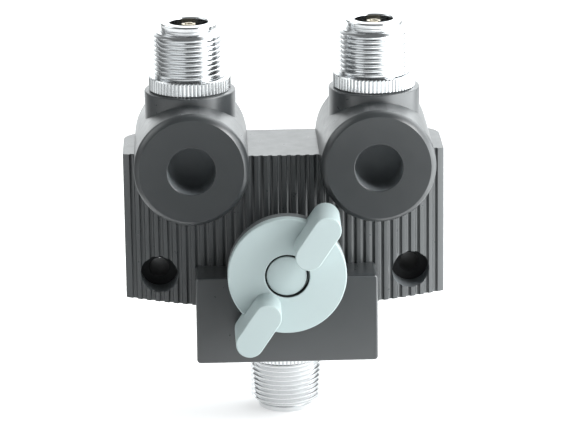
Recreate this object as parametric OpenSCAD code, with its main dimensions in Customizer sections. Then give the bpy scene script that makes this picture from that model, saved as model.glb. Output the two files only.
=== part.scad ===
// Two-way coaxial antenna switch: two outlets on top, one common inlet below,
// and a winged knob in front that turns a moving contact from one outlet to the other.
// The back face is the plane y = 0. "Depth" is the distance in front of it, along -Y.
// x = 0 is the middle plane and z = 0 is the line through the two mounting holes.

/* [Body] */
// Width of the ribbed body
body_w = 70.4; // [69:0.2:76]
// Height of the body's top face above the mounting holes
body_top = 27.3; // [26:0.1:30]
// Distance from the mounting holes down to the lowest point of the body's arched underside
body_bottom = 7.5; // [6.5:0.1:9]
// Depth of the ribbed face on the middle plane
body_depth = 22.7; // [22:0.1:25]
// Depth of the ribbed face at the two sides
side_depth = 18.8; // [17:0.1:20]
// How far the underside rises towards the two sides
underside_rise = 2; // [0.5:0.1:3]
// Radius of the two upright corners at the back
back_corner_r = 6; // [2:0.5:7]
// Distance from rib to rib along the face
rib_pitch = 2.03; // [1.8:0.01:3]
// Width of the round groove between two ribs
rib_groove_w = 1; // [0.6:0.05:1.2]

/* [Outlet bodies] */
// Distance between the two outlets
outlet_spacing = 40.4; // [39.6:0.1:42]
// Diameter of each horizontal barrel
barrel_d = 25; // [24.6:0.1:25.6]
// Length of each barrel, from the back face to its front face
barrel_len = 32; // [31:0.1:34]
// Height of the barrels' axes above the mounting holes
barrel_z = 26.6; // [26:0.1:28]
// Width of the bevel round each barrel's front face
barrel_bevel = 1.1; // [0.3:0.1:2]
// Length of that bevel along the barrel
barrel_bevel_len = 1.7; // [0.5:0.1:3]
// Diameter of the blind recess in each front face
recess_d = 10.4; // [6:0.1:10.8]
// Depth of that recess
recess_depth = 10.2; // [5:0.1:10.4]
// Diameter of the upright neck on each barrel
neck_d = 20; // [19:0.1:21]
// Height of a neck's top face above the barrel's axis
neck_rise = 14; // [13.6:0.1:16]

/* [Inlet block] */
// Width of the block at the bottom
block_w = 39.7; // [38:0.1:42]
// Height of the block's top face above the mounting holes
block_top = 2.2; // [1:0.1:3]
// Distance from the mounting holes down to the block's underside
block_bottom = 17.3; // [17:0.1:19]
// Depth of the block's front face
block_depth = 31.15; // [30:0.05:33]
// Radius of the block's four long edges
block_edge_r = 0.8; // [0.3:0.1:2]
// Height of the short neck under the block
inlet_neck_h = 0.7; // [0.4:0.1:2]
// Diameter of the round boss that carries the shaft, behind the knob
boss_d = 18; // [17:0.5:20]

/* [Mounting holes] */
// Distance between the two mounting holes
mount_spacing = 55.6; // [55:0.1:57]
// Diameter of each mounting hole
mount_hole_d = 4.3; // [3.2:0.1:5]
// Diameter of the counterbore for the screw's head
counterbore_d = 8.3; // [7.5:0.1:9]
// Thickness of the metal under the screw's head
mount_seat = 14.5; // [8:0.1:16]

/* [Connectors] */
// Depth of the three connectors' axes and of the flat lines that join them
line_depth = 13.8; // [13.4:0.1:14.2]
// Outer diameter of the connector's thread
thread_d = 15.8; // [15.6:0.01:15.9]
// Pitch of the thread
thread_pitch = 1.0583; // [0.9:0.0001:1.2]
// Number of turns of thread that show
thread_turns = 9; // [6:1:10]
// Diameter of the smooth nose in front of the thread
nose_d = 12.5; // [11.5:0.1:13]
// Length of the nose
nose_h = 2.1; // [1.5:0.1:3]
// Inner diameter of the connector's shell
shell_bore_d = 8.4; // [8.1:0.05:9]
// Depth of the socket, from the rim to the face of the insulator
socket_depth = 9.15; // [7:0.05:10]
// Diameter of the smooth shank that passes the lock ring and seats in the housing
shank_d = 15; // [14:0.1:15.2]
// Length of the shank inside the housing
shank_h = 6.6; // [5:0.1:6.8]
// Outer diameter of the knurled lock ring
ring_d = 18; // [17.4:0.1:18.8]
// Height of the lock ring
ring_h = 3.1; // [2:0.1:4]
// Number of teeth round the lock ring
ring_teeth = 64; // [40:1:72]
// Depth of the lock ring's teeth
tooth_h = 0.35; // [0.2:0.05:0.5]
// Diameter of the centre contact
contact_d = 3.04; // [2.6:0.02:3.4]
// Diameter of the hole in the centre contact's tip
contact_bore_d = 1.65; // [1.4:0.05:1.8]
// Depth of that hole
contact_bore_h = 5; // [3:0.1:6]
// How far the contact's tip lies below the rim
contact_recess = 0.5; // [0.2:0.1:2]
// Diameter of the flange that holds the insulator
flange_d = 11; // [10:0.1:12]
// Thickness of that flange
flange_h = 1.5; // [1:0.1:1.6]
// Length of the contact's tail behind the insulator
tail_h = 4.5; // [4:0.1:5]
// Depth of the slot in the tail that takes a flat line
tail_slot_h = 3; // [2:0.1:3.2]
// Width of the two crossed slots in the contact's tip
contact_slot_w = 0.3; // [0.2:0.05:0.4]
// Length of those slots
contact_slot_h = 3.6; // [2:0.1:5]

/* [Switch inside] */
// Height of the knob's axis above the mounting holes
knob_z = 4; // [3:0.1:5]
// Angle between upright and the knob's direction in each of its two positions
throw_angle = 34; // [30:1:38]
// Radius of the round chamber for the moving contact
chamber_r = 10.5; // [10:0.1:11]
// Width of the channels round the flat lines
channel_w = 8; // [6:0.1:8.6]
// Radius of the round pocket at the end of each outlet channel
pocket_r = 4.4; // [4:0.1:4.8]
// Thickness of the flat lines and the moving contact
strip_t = 0.8; // [0.5:0.05:1]
// Width of the flat lines and the moving contact
strip_w = 4; // [3:0.1:4.4]
// Distance from the shaft's axis to the point where the contacts meet
contact_r = 7.7; // [7.4:0.1:8]
// Diameter of the eye at the end of the inlet line
eye_d = 7.2; // [6:0.1:7.6]
// Diameter of the rotor
rotor_d = 16; // [14:0.5:18]
// Thickness of the rotor
rotor_h = 3.2; // [2.8:0.1:3.4]
// Diameter of the pin on the rotor that the contacts turn on
spigot_d = 3; // [2.4:0.1:3.2]
// Diameter of each of the two flush rivets through the moving contact
rivet_d = 1.2; // [0.8:0.1:1.4]

/* [Shaft and knob] */
// Diameter of the shaft
shaft_d = 6; // [5.6:0.1:6.2]
// How deep the flats on the shaft's ends are cut
shaft_flat = 0.6; // [0.4:0.05:0.9]
// Outer diameter of the bearing bush
bush_d = 8.6; // [8.2:0.1:9]
// Diameter of the bush's flange
bush_flange_d = 10.2; // [9.8:0.1:10.4]
// Thickness of the bush's flange
bush_flange_h = 0.8; // [0.5:0.1:1.5]
// Diameter of the shaft clip
clip_d = 9; // [8:0.1:10]
// Thickness of the shaft clip
clip_t = 0.56; // [0.4:0.02:0.6]
// Diameter of the knob's disc
knob_d = 25.8; // [25:0.1:27]
// Thickness of the disc
knob_disc_t = 5; // [4:0.1:6]
// Height of the wings' front faces above the knob's back face
knob_h = 13.5; // [10:0.1:16]
// Width of the two wings
wing_w = 6.2; // [4:0.1:6.4]
// Distance from the knob's axis to the centre of a wing's inner end
wing_in = 8.1; // [8:0.1:9]
// Distance from the knob's axis to the centre of a wing's outer end
wing_out = 15.1; // [12:0.1:16]
// Distance from the knob's back face to the back of the wings
wing_base = 2; // [1:0.1:3]
// Diameter of the pocket in the middle of the disc
hub_pocket_d = 9.7; // [9:0.1:9.8]
// Depth of the pocket below the disc's face
hub_pocket_h = 2.3; // [2.2:0.05:2.4]
// Width of the open ring round the knob's cap
cap_ring_gap = 0.45; // [0.2:0.05:0.6]
// Thickness of the knob's web under the screw's head
knob_web = 0.6; // [0.5:0.1:0.9]
// Depth of the cap's face below the disc's face
cap_recess = 0.6; // [0.3:0.05:0.7]
// Thickness of the cap's face
cap_face_t = 0.7; // [0.5:0.05:0.8]
// Thickness of the flange at the cap's foot
cap_flange_t = 0.5; // [0.3:0.05:0.7]
// Diameter of the knob screw's thread
knob_screw_d = 2.5; // [2:0.1:3]
// Diameter of the knob screw's head
knob_screw_head_d = 4.8; // [4:0.1:5.2]
// Height of the knob screw's head
knob_screw_head_h = 0.75; // [0.5:0.05:0.8]
// Depth of the screw's hole in the shaft's end
knob_screw_hole_h = 4.6; // [3:0.1:6]

/* [Detent and stop] */
// Diameter of the detent ball
ball_d = 3; // [2.5:0.1:3.2]
// Distance from the knob's axis to the ball
ball_track_r = 9.3; // [9.2:0.1:9.6]
// How far the ball stands out of the block
ball_out = 0.75; // [0.5:0.05:0.9]
// Length of the hole for the ball and its spring
ball_hole_h = 6.6; // [5:0.1:8]
// Thickness of the detent spring's wire
spring_wire = 0.35; // [0.25:0.05:0.5]
// Diameter of the stop pin
stop_pin_d = 2; // [1.6:0.1:2.2]
// Distance from the knob's axis to the stop pin
stop_pin_r = 6.7; // [6.6:0.1:7.2]
// Length of the stop pin that stands out of the boss
stop_pin_out = 1.3; // [1:0.1:1.5]
// Length of the stop pin in the boss
stop_pin_in = 5; // [3:0.1:7]

/* [Rear cover] */
// Thickness of the rear cover
cover_t = 2; // [1.6:0.1:2.5]
// Radius of the cover's two round ears
ear_r = 10.9; // [10.6:0.1:11.2]
// Diameter of the cover screws
screw_d = 2.5; // [2:0.1:2.6]
// Diameter of the cover screws' heads
screw_head_d = 4.6; // [4:0.1:4.8]
// Length of the cover screws
screw_len = 6; // [5:0.1:6.4]
// Distance from a barrel's axis to the screw in its ear
ear_screw_r = 7.95; // [7.9:0.05:8.1]
// Distance from the barrels' axes down to the middle pair of screws
middle_screw_drop = 15.2; // [15:0.1:15.8]
// Distance from the block's sides to the lowest pair of screws
low_screw_side = 6.4; // [6:0.1:7]
// Distance from the block's underside to the lowest pair of screws
low_screw_rise = 5.6; // [5.4:0.1:7]
// Distance from the barrels' axes down to the lower edge of the cover's wide band
band_low = 18.6; // [18.4:0.1:20]
// Height of that band
band_h = 16.4; // [15:0.1:17]
// How far the band reaches past the barrels' axes
band_side = 4; // [3.6:0.1:5]
// Width of the block's edge beside the cover
cover_margin = 2.7; // [2.4:0.1:3]

/* [Clearances] */
// Clearance round fixed pieces that fit in each other
fit = 0.02; // [0.01:0.01:0.05]
// Clearance round the shaft in its bush
bearing_fit = 0.03; // [0.01:0.01:0.08]
// Gap between a turning piece and a fixed one
running_gap = 0.12; // [0.08:0.01:0.15]
// Gap between the moving contact and the flat lines
contact_gap = 0.2; // [0.1:0.05:0.3]
// Gap between the knob's back face and the block
knob_gap = 0.35; // [0.2:0.05:0.6]
// Gap round the rear cover in its seat
cover_gap = 0.1; // [0.05:0.01:0.2]
// Gap between the stop pin and each end of its groove
stop_gap = 0.15; // [0.05:0.05:0.3]
// Gap between the ball and the ends of its groove
ball_gap = 0.3; // [0.2:0.05:0.5]
// Free space behind the end of a screw or a pin
end_gap = 0.3; // [0.1:0.05:0.5]

/* [Hidden] */
$fn = 96;
eps = 0.01;

// Colours, as the photograph shows them
paint = "#4a4e50";
chrome = "#c4c8ca";
gold = "#c9a24a";
silver = "#d0d2d0";
brass = "#b9974e";
steel = "#9aa0a4";
white_plastic = "#eeece4";
teal_plastic = "#b9cfcf";

// Places along the depth
line_back = line_depth - strip_t / 2;
line_front = line_depth + strip_t / 2;
blade_back = line_front + contact_gap;
rotor_back = blade_back + strip_t;
rotor_front = rotor_back + rotor_h;
clip_back = rotor_front + running_gap;
clip_front = clip_back + clip_t;
chamber_depth = clip_front + running_gap;
knob_back = block_depth + knob_gap;
disc_front = knob_back + knob_disc_t;
cap_seat = disc_front - hub_pocket_h;
cap_front = disc_front - cap_recess;
web_back = cap_seat - knob_web;
shaft_back = rotor_front - 2;
spigot_end = line_back - 0.6;

// Sizes of the small inner pieces
clip_groove_d = 0.8 * shaft_d;
rivet_r = spigot_d / 2 + 1.3;
blade_eye_d = eye_d + 1.2;
tab_w = 0.75 * strip_w;

// Heights
neck_top = barrel_z + neck_rise;
inlet_end = block_bottom + inlet_neck_h;

// Lengths along a connector, from its seat
thread_relief = 0.3;
thread_start = ring_h + thread_relief;
thread_end = thread_start + thread_turns * thread_pitch;
shell_h = thread_end + nose_h;
rim_chamfer = 0.3;
insulator_end = shank_h + flange_h;
tail_end = insulator_end + tail_h;
tab_reach = tail_end - tail_slot_h + 0.1;

// Radii of the two long arcs of the body
front_arc_r = arc_radius(body_w / 2, body_depth - side_depth);
underside_arc_r = arc_radius(body_w / 2, underside_rise);
passage_r = flange_d / 2 - 1.5;
travel = 2 * throw_angle;

// Radius of the arc over a half chord with a given rise
function arc_radius(half_chord, rise) = (half_chord * half_chord + rise * rise) / (2 * rise);

// Extrudes an outline drawn in x and z, between two depths
module slab(from, to) {
    translate([0, -from, 0])
        rotate([90, 0, 0])
            linear_extrude(to - from)
                children();
}

// Round bar along the depth at a place in x and z
module bar(d, from, to, x = 0, z = 0) {
    slab(from, to)
        translate([x, z])
            circle(d = d);
}

// Puts its children on the knob's axis, with their z axis pointing to the viewer
module on_axis(depth) {
    translate([0, -depth, knob_z])
        rotate([90, 0, 0])
            children();
}

// Puts a connector's piece on its seat; side is -1 for left, 1 for right and 0 for the inlet
module on_seat(side) {
    if (side == 0) {
        translate([0, -line_depth, -inlet_end])
            mirror([0, 0, 1])
                children();
    } else {
        translate([side * outlet_spacing / 2, -line_depth, neck_top])
            children();
    }
}

// Ring outline
module ring(outer_d, inner_d) {
    difference() {
        circle(d = outer_d);
        circle(d = inner_d);
    }
}

// Round outline with one flat side
module d_shape(d, flat) {
    intersection() {
        circle(d = d);
        translate([-d, -d])
            square([2 * d, 1.5 * d - flat]);
    }
}

// Flat strip with round ends between two points
module strip(a, b, w) {
    run = b - a;
    for (end = [a, b])
        translate(end)
            circle(d = w);
    translate(a)
        rotate(atan2(run[1], run[0]))
            translate([0, -w / 2])
                square([norm(run), w]);
}

// Rectangle with rounded corners
module round_box(x0, z0, x1, z1, r) {
    translate([x0 + r, z0])
        square([x1 - x0 - 2 * r, z1 - z0]);
    translate([x0, z0 + r])
        square([x1 - x0, z1 - z0 - 2 * r]);
    for (x = [x0 + r, x1 - r], z = [z0 + r, z1 - r])
        translate([x, z])
            circle(r = r);
}

// Outline of the ribbed body, seen from above
module body_plan() {
    groove_step = rib_pitch / front_arc_r * 180 / PI;
    groove_count = floor(body_w / rib_pitch / 2 - 0.3);
    difference() {
        intersection() {
            translate([0, front_arc_r - body_depth])
                circle(r = front_arc_r, $fn = 720);
            union() {
                translate([-body_w / 2, -body_depth - 1])
                    square([body_w, body_depth + 1 - back_corner_r]);
                translate([-body_w / 2 + back_corner_r, -back_corner_r - eps])
                    square([body_w - 2 * back_corner_r, back_corner_r + eps]);
                for (side = [-1, 1])
                    translate([side * (body_w / 2 - back_corner_r), -back_corner_r])
                        circle(r = back_corner_r);
            }
        }
        translate([0, front_arc_r - body_depth])
            for (i = [-groove_count:groove_count - 1])
                rotate((i + 0.5) * groove_step)
                    translate([0, -front_arc_r])
                        circle(d = rib_groove_w, $fn = 24);
    }
}

// Ribbed body with its arched underside
module ribbed_body() {
    intersection() {
        translate([0, 0, -body_bottom])
            linear_extrude(body_top + body_bottom)
                body_plan();
        translate([0, 1, underside_arc_r - body_bottom])
            rotate([90, 0, 0])
                cylinder(r = underside_arc_r, h = body_depth + 2, $fn = 1440);
    }
}

// Barrel and neck of one outlet
module outlet_body(side) {
    straight = barrel_len - barrel_bevel_len;
    translate([side * outlet_spacing / 2, 0, barrel_z])
        rotate([90, 0, 0]) {
            cylinder(d = barrel_d, h = straight);
            translate([0, 0, straight])
                cylinder(d1 = barrel_d, d2 = barrel_d - 2 * barrel_bevel, h = barrel_bevel_len);
        }
    translate([side * outlet_spacing / 2, -line_depth, barrel_z])
        cylinder(d = neck_d, h = neck_rise);
}

// Block at the bottom, with the short neck under it
module inlet_block() {
    slab(0, block_depth)
        round_box(-block_w / 2, -block_bottom, block_w / 2, block_top, block_edge_r);
    translate([0, -line_depth, -inlet_end])
        cylinder(d = neck_d, h = inlet_neck_h + 1);
}

// Outline of the chamber and its three channels
module chamber_outline() {
    translate([0, knob_z])
        circle(r = chamber_r);
    for (side = [-1, 1]) {
        strip([0, knob_z], [side * outlet_spacing / 2, barrel_z], channel_w);
        translate([side * outlet_spacing / 2, barrel_z])
            circle(r = pocket_r);
    }
    channel_end = inlet_end - tail_end + channel_w / 2 - 0.7;
    translate([-channel_w / 2, -channel_end])
        square([channel_w, channel_end + knob_z]);
}

// Bores that take a connector, cut from its seat inwards
module connector_bores(side) {
    reach = side == 0 ? inlet_end - channel_w / 2 : neck_rise;
    on_seat(side) {
        translate([0, 0, -shank_h])
            cylinder(d = shank_d + 2 * fit, h = shank_h + 1);
        translate([0, 0, -insulator_end])
            cylinder(d = flange_d + 2 * fit, h = flange_h + eps);
        translate([0, 0, -reach])
            cylinder(r = passage_r, h = reach - insulator_end + eps);
    }
}

// Places of the six cover screws
function cover_screw_places() = [
    for (side = [-1, 1]) each [
        [side * (outlet_spacing / 2 + ear_screw_r * cos(60)), barrel_z + ear_screw_r * sin(60)],
        [side * outlet_spacing / 2, barrel_z - middle_screw_drop],
        [side * (block_w / 2 - low_screw_side), low_screw_rise - block_bottom]
    ]
];

// Outline of the rear cover, grown on every side by a gap
module cover_outline(gap) {
    for (side = [-1, 1])
        translate([side * outlet_spacing / 2, barrel_z])
            circle(r = ear_r + gap);
    band_half = outlet_spacing / 2 + band_side + gap;
    translate([-band_half, barrel_z - band_low - gap])
        square([2 * band_half, band_h + 2 * gap]);
    column_half = block_w / 2 - cover_margin + gap;
    column_low = block_bottom - cover_margin + gap;
    translate([-column_half, -column_low])
        square([2 * column_half, column_low + barrel_z - band_low + band_h / 2]);
}

module housing() {
    color(paint)
        difference() {
            union() {
                ribbed_body();
                inlet_block();
                bar(boss_d, chamber_depth, block_depth, 0, knob_z);
                for (side = [-1, 1])
                    outlet_body(side);
            }
            slab(-1, cover_t)
                cover_outline(cover_gap);
            slab(cover_t - eps, chamber_depth)
                chamber_outline();
            for (side = [-1, 0, 1])
                connector_bores(side);
            for (side = [-1, 1]) {
                bar(recess_d, barrel_len - recess_depth, barrel_len + 1, side * outlet_spacing / 2, barrel_z);
                bar(mount_hole_d, -1, mount_seat + eps, side * mount_spacing / 2, 0);
                bar(counterbore_d, mount_seat, block_depth, side * mount_spacing / 2, 0);
            }
            for (place = cover_screw_places())
                bar(screw_d + 2 * fit, cover_t - eps, screw_len + end_gap, place[0], place[1]);
            bar(bush_d + 2 * fit, chamber_depth - eps, block_depth + 1, 0, knob_z);
            bar(bush_flange_d + 2 * fit, block_depth - bush_flange_h, block_depth + 1, 0, knob_z);
            bar(ball_d + 2 * fit, block_depth - ball_hole_h, block_depth + 1, 0, knob_z - ball_track_r);
            bar(stop_pin_d + 2 * fit, block_depth - stop_pin_in, block_depth + 1, 0, knob_z + stop_pin_r);
        }
}

module rear_cover() {
    color(paint)
        difference() {
            slab(0, cover_t)
                cover_outline(0);
            for (place = cover_screw_places()) {
                bar(screw_d + 2 * fit, -1, cover_t + 1, place[0], place[1]);
                countersink(place, screw_head_d + 2 * fit);
            }
        }
}

// Cone of a countersunk head whose wide end lies on the back face
module countersink(place, d) {
    depth = (d - screw_d) / 2;
    translate([place[0], 0, place[1]])
        rotate([90, 0, 0])
            cylinder(d1 = d, d2 = screw_d, h = depth);
}

// Crossed recess for a screwdriver, cut into a head whose face is at z = 0
module cross_recess(span, h) {
    for (turn = [0, 90])
        rotate(turn)
            translate([-span / 2, -span / 10, -h])
                cube([span, span / 5, h + 1]);
}

module cover_screws() {
    color(steel)
        for (place = cover_screw_places())
            difference() {
                union() {
                    countersink(place, screw_head_d);
                    bar(screw_d, cover_t / 4, screw_len, place[0], place[1]);
                }
                translate([place[0], 0, place[1]])
                    rotate([-90, 0, 0])
                        cross_recess(screw_head_d * 0.6, 0.7);
            }
}

// Half section of the thread: crests of a 60 degree profile, one for each turn
function thread_points() = [
    for (i = [0:thread_turns - 1]) let (
        z = thread_start + i * thread_pitch,
        crest = thread_d / 2,
        root = crest - 0.54 * thread_pitch
    ) each [
        [root, z + 0.125 * thread_pitch],
        [crest, z + 0.4375 * thread_pitch],
        [crest, z + 0.5625 * thread_pitch],
        [root, z + 0.875 * thread_pitch]
    ]
];

// Threaded shell; the thread is drawn as rings, one for each turn
module connector_shell(side) {
    color(chrome)
        on_seat(side)
            rotate_extrude()
                polygon(concat(
                    [
                        [shell_bore_d / 2, -shank_h],
                        [shank_d / 2, -shank_h],
                        [shank_d / 2, thread_start - thread_relief / 2]
                    ],
                    thread_points(),
                    [
                        [nose_d / 2, thread_end + thread_relief],
                        [nose_d / 2, shell_h - rim_chamfer],
                        [nose_d / 2 - rim_chamfer, shell_h],
                        [shell_bore_d / 2 + rim_chamfer, shell_h],
                        [shell_bore_d / 2, shell_h - rim_chamfer]
                    ]
                ));
}

// Outline of the lock ring's teeth
function tooth_points() = [
    for (i = [0:2 * ring_teeth - 1]) let (
        r = ring_d / 2 - (i % 2) * tooth_h,
        a = i * 180 / ring_teeth
    ) [r * cos(a), r * sin(a)]
];

module lock_ring(side) {
    color(chrome)
        on_seat(side)
            linear_extrude(ring_h)
                difference() {
                    polygon(tooth_points());
                    circle(d = shank_d + 2 * fit);
                }
}

module insulator(side) {
    color(white_plastic)
        on_seat(side)
            difference() {
                union() {
                    translate([0, 0, -insulator_end])
                        cylinder(d = flange_d, h = flange_h);
                    translate([0, 0, -insulator_end])
                        cylinder(d = shell_bore_d - 2 * fit, h = insulator_end + shell_h - socket_depth);
                }
                translate([0, 0, -insulator_end - 1])
                    cylinder(d = contact_d + 2 * fit, h = insulator_end + shell_h);
            }
}

module center_contact(side) {
    tip = shell_h - contact_recess;
    color(gold)
        on_seat(side)
            difference() {
                translate([0, 0, -tail_end])
                    cylinder(d = contact_d, h = tail_end + tip);
                translate([0, 0, tip - contact_bore_h])
                    cylinder(d = contact_bore_d, h = contact_bore_h + 1);
                for (turn = [45, 135])
                    rotate(turn)
                        translate([-contact_d, -contact_slot_w / 2, tip - contact_slot_h])
                            cube([2 * contact_d, contact_slot_w, contact_slot_h + 1]);
                translate([-contact_d, -strip_t / 2 - fit, -tail_end - 1])
                    cube([2 * contact_d, strip_t + 2 * fit, tail_slot_h + 1]);
            }
}

// Flat line from an outlet's contact to the point where the moving contact meets it
module outlet_line(side) {
    corner = [side * outlet_spacing / 2, barrel_z];
    meet = [side * contact_r * sin(throw_angle), knob_z + contact_r * cos(throw_angle)];
    color(silver)
        slab(line_back, line_front) {
            strip(corner, meet, strip_w);
            translate([corner[0] - tab_w / 2, corner[1]])
                square([tab_w, neck_rise - tab_reach]);
        }
}

// Flat line from the inlet's contact to the eye on the knob's axis
module inlet_line() {
    tab_low = tab_reach - inlet_end;
    color(silver)
        slab(line_back, line_front)
            difference() {
                union() {
                    strip([0, tail_end + strip_w / 2 - inlet_end], [0, knob_z], strip_w);
                    translate([-tab_w / 2, tab_low])
                        square([tab_w, knob_z - tab_low]);
                    translate([0, knob_z])
                        circle(d = eye_d);
                }
                translate([0, knob_z])
                    circle(d = spigot_d + 2 * running_gap);
            }
}

module shaft_bush() {
    color(brass)
        on_axis(0)
            difference() {
                union() {
                    translate([0, 0, chamber_depth])
                        cylinder(d = bush_d, h = block_depth - chamber_depth);
                    translate([0, 0, block_depth - bush_flange_h])
                        cylinder(d = bush_flange_d, h = bush_flange_h);
                }
                translate([0, 0, chamber_depth - 1])
                    cylinder(d = shaft_d + 2 * bearing_fit, h = block_depth);
            }
}

module detent_ball() {
    color(steel)
        translate([0, -(block_depth + ball_out - ball_d / 2), knob_z - ball_track_r])
            sphere(d = ball_d);
}

// The spring is drawn as the tube that its turns fill
module detent_spring() {
    outer_r = ball_d / 2 - 0.15;
    inner_r = outer_r - spring_wire;
    ball_centre = block_depth + ball_out - ball_d / 2;
    spring_end = ball_centre - sqrt(ball_d * ball_d / 4 - inner_r * inner_r) - fit;
    color(steel)
        slab(block_depth - ball_hole_h, spring_end)
            translate([0, knob_z - ball_track_r])
                ring(2 * outer_r, 2 * inner_r);
}

module stop_pin() {
    color(steel)
        bar(stop_pin_d, block_depth - stop_pin_in, block_depth + stop_pin_out, 0, knob_z + stop_pin_r);
}

// Cut that leaves a flat on a shaft whose axis is the local z axis
module flat_cut(from, to) {
    rotate(-throw_angle)
        translate([-shaft_d, shaft_d / 2 - shaft_flat, from])
            cube([2 * shaft_d, shaft_d, to - from]);
}

module rotor_shaft() {
    color(steel)
        on_axis(0)
            difference() {
                translate([0, 0, shaft_back])
                    cylinder(d = shaft_d, h = web_back - shaft_back);
                translate([0, 0, clip_back])
                    linear_extrude(clip_t)
                        ring(2 * shaft_d, clip_groove_d);
                flat_cut(shaft_back - 1, clip_back);
                flat_cut(knob_back, web_back + 1);
                translate([0, 0, web_back - knob_screw_hole_h])
                    cylinder(d = knob_screw_d + 2 * fit, h = knob_screw_hole_h + 1);
            }
}

module shaft_clip() {
    color(steel)
        on_axis(clip_back)
            linear_extrude(clip_t)
                difference() {
                    circle(d = clip_d);
                    circle(d = clip_groove_d + 2 * fit);
                    translate([-clip_groove_d * 0.4, 0])
                        square([clip_groove_d * 0.8, clip_d]);
                }
}

module rotor() {
    color(white_plastic)
        on_axis(0)
            rotate(-throw_angle)
                difference() {
                    union() {
                        translate([0, 0, rotor_back])
                            cylinder(d = rotor_d, h = rotor_h);
                        translate([0, 0, spigot_end])
                            cylinder(d = spigot_d, h = rotor_back - spigot_end + eps);
                    }
                    translate([0, 0, shaft_back])
                        linear_extrude(rotor_h)
                            d_shape(shaft_d + 2 * fit, shaft_flat);
                    rivet_holes();
                }
}

// Holes for the two rivets, either side of the spigot
module rivet_holes() {
    for (side = [-1, 1])
        translate([side * rivet_r, 0, rotor_back - 1])
            cylinder(d = rivet_d + 2 * fit, h = shaft_back - rotor_back + 1 + eps);
}

module moving_contact() {
    color(silver)
        on_axis(blade_back)
            rotate(-throw_angle)
                linear_extrude(strip_t)
                    difference() {
                        union() {
                            strip([0, 0], [0, contact_r], strip_w);
                            circle(d = blade_eye_d);
                        }
                        circle(d = spigot_d + 2 * fit);
                        for (side = [-1, 1])
                            translate([side * rivet_r, 0])
                                circle(d = rivet_d + 2 * fit);
                    }
}

module contact_rivets() {
    color(brass)
        on_axis(0)
            rotate(-throw_angle)
                for (side = [-1, 1])
                    translate([side * rivet_r, 0, blade_back])
                        cylinder(d = rivet_d, h = shaft_back - fit - blade_back);
}

// Arc groove in the knob's back with room for a fixed pin over the whole travel
module arc_groove(track_r, pin_d, gap, h, pin_angle) {
    half = pin_d / 2 + gap;
    end_angle = asin(half / track_r);
    rotate(pin_angle - travel - end_angle)
        rotate_extrude(angle = travel + 2 * end_angle)
            translate([track_r - half, -1])
                square([2 * half, h + 1]);
}

// One wing: a wall with round ends, drawn on the local y axis
module wing(turn) {
    rotate(turn - throw_angle)
        translate([0, 0, wing_base])
            linear_extrude(knob_h - wing_base)
                strip([0, wing_in], [0, wing_out], wing_w);
}

module knob() {
    ball_groove_h = ball_out - knob_gap + end_gap;
    stop_groove_h = stop_pin_out - knob_gap + end_gap;
    color(teal_plastic)
        on_axis(knob_back)
            difference() {
                union() {
                    cylinder(d = knob_d, h = knob_disc_t);
                    wing(0);
                    wing(180);
                }
                translate([0, 0, -1])
                    linear_extrude(web_back - knob_back + 1)
                        rotate(-throw_angle)
                            d_shape(shaft_d + 2 * fit, shaft_flat);
                cylinder(d = knob_screw_d + 2 * fit, h = knob_h);
                translate([0, 0, cap_seat - knob_back])
                    cylinder(d = hub_pocket_d, h = knob_h);
                arc_groove(ball_track_r, ball_d, ball_gap, ball_groove_h, 270);
                arc_groove(stop_pin_r, stop_pin_d, stop_gap, stop_groove_h, 90);
            }
}

module knob_screw() {
    color(steel)
        on_axis(cap_seat)
            difference() {
                union() {
                    cylinder(d = knob_screw_head_d, h = knob_screw_head_h);
                    translate([0, 0, end_gap - knob_web - knob_screw_hole_h])
                        cylinder(d = knob_screw_d, h = knob_web + knob_screw_hole_h);
                }
                translate([0, 0, knob_screw_head_h])
                    cross_recess(knob_screw_head_d * 0.6, 0.5);
            }
}

module knob_cap() {
    skirt_in = knob_screw_head_d + 1.6;
    color(teal_plastic)
        on_axis(cap_seat)
            difference() {
                union() {
                    cylinder(d = hub_pocket_d - 2 * fit, h = cap_flange_t);
                    cylinder(d = hub_pocket_d - 2 * cap_ring_gap, h = cap_front - cap_seat);
                }
                translate([0, 0, -1])
                    cylinder(d = skirt_in, h = cap_front - cap_face_t - cap_seat + 1);
            }
}

housing();
rear_cover();
cover_screws();
connector_shell(-1);  // left_connector_shell
connector_shell(1);  // right_connector_shell
connector_shell(0);  // inlet_connector_shell
lock_ring(-1);  // left_lock_ring
lock_ring(1);  // right_lock_ring
lock_ring(0);  // inlet_lock_ring
insulator(-1);  // left_insulator
insulator(1);  // right_insulator
insulator(0);  // inlet_insulator
center_contact(-1);  // left_center_contact
center_contact(1);  // right_center_contact
center_contact(0);  // inlet_center_contact
outlet_line(-1);  // left_line
outlet_line(1);  // right_line
inlet_line();
shaft_bush();
detent_ball();
detent_spring();
stop_pin();
rotor_shaft();
shaft_clip();
rotor();
moving_contact();
contact_rivets();
knob();
knob_screw();
knob_cap();
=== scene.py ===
"""Looks of the coaxial antenna switch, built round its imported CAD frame.

Sizes are in millimetres. X points right, Y away from the viewer into the wall, Z up, and the
origin lies on the back face midway between the mounting holes. "Depth" is the distance in front
of the back face, so a place at depth d has y = -d.
"""

import logging
from contextlib import contextmanager
from dataclasses import dataclass
from enum import Enum
from math import acos, asin, atan2, cos, degrees, hypot, pi, radians, sin, tan
from typing import Callable, Iterator, Sequence

import bmesh
import bpy
from mathutils import Matrix, Vector

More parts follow.
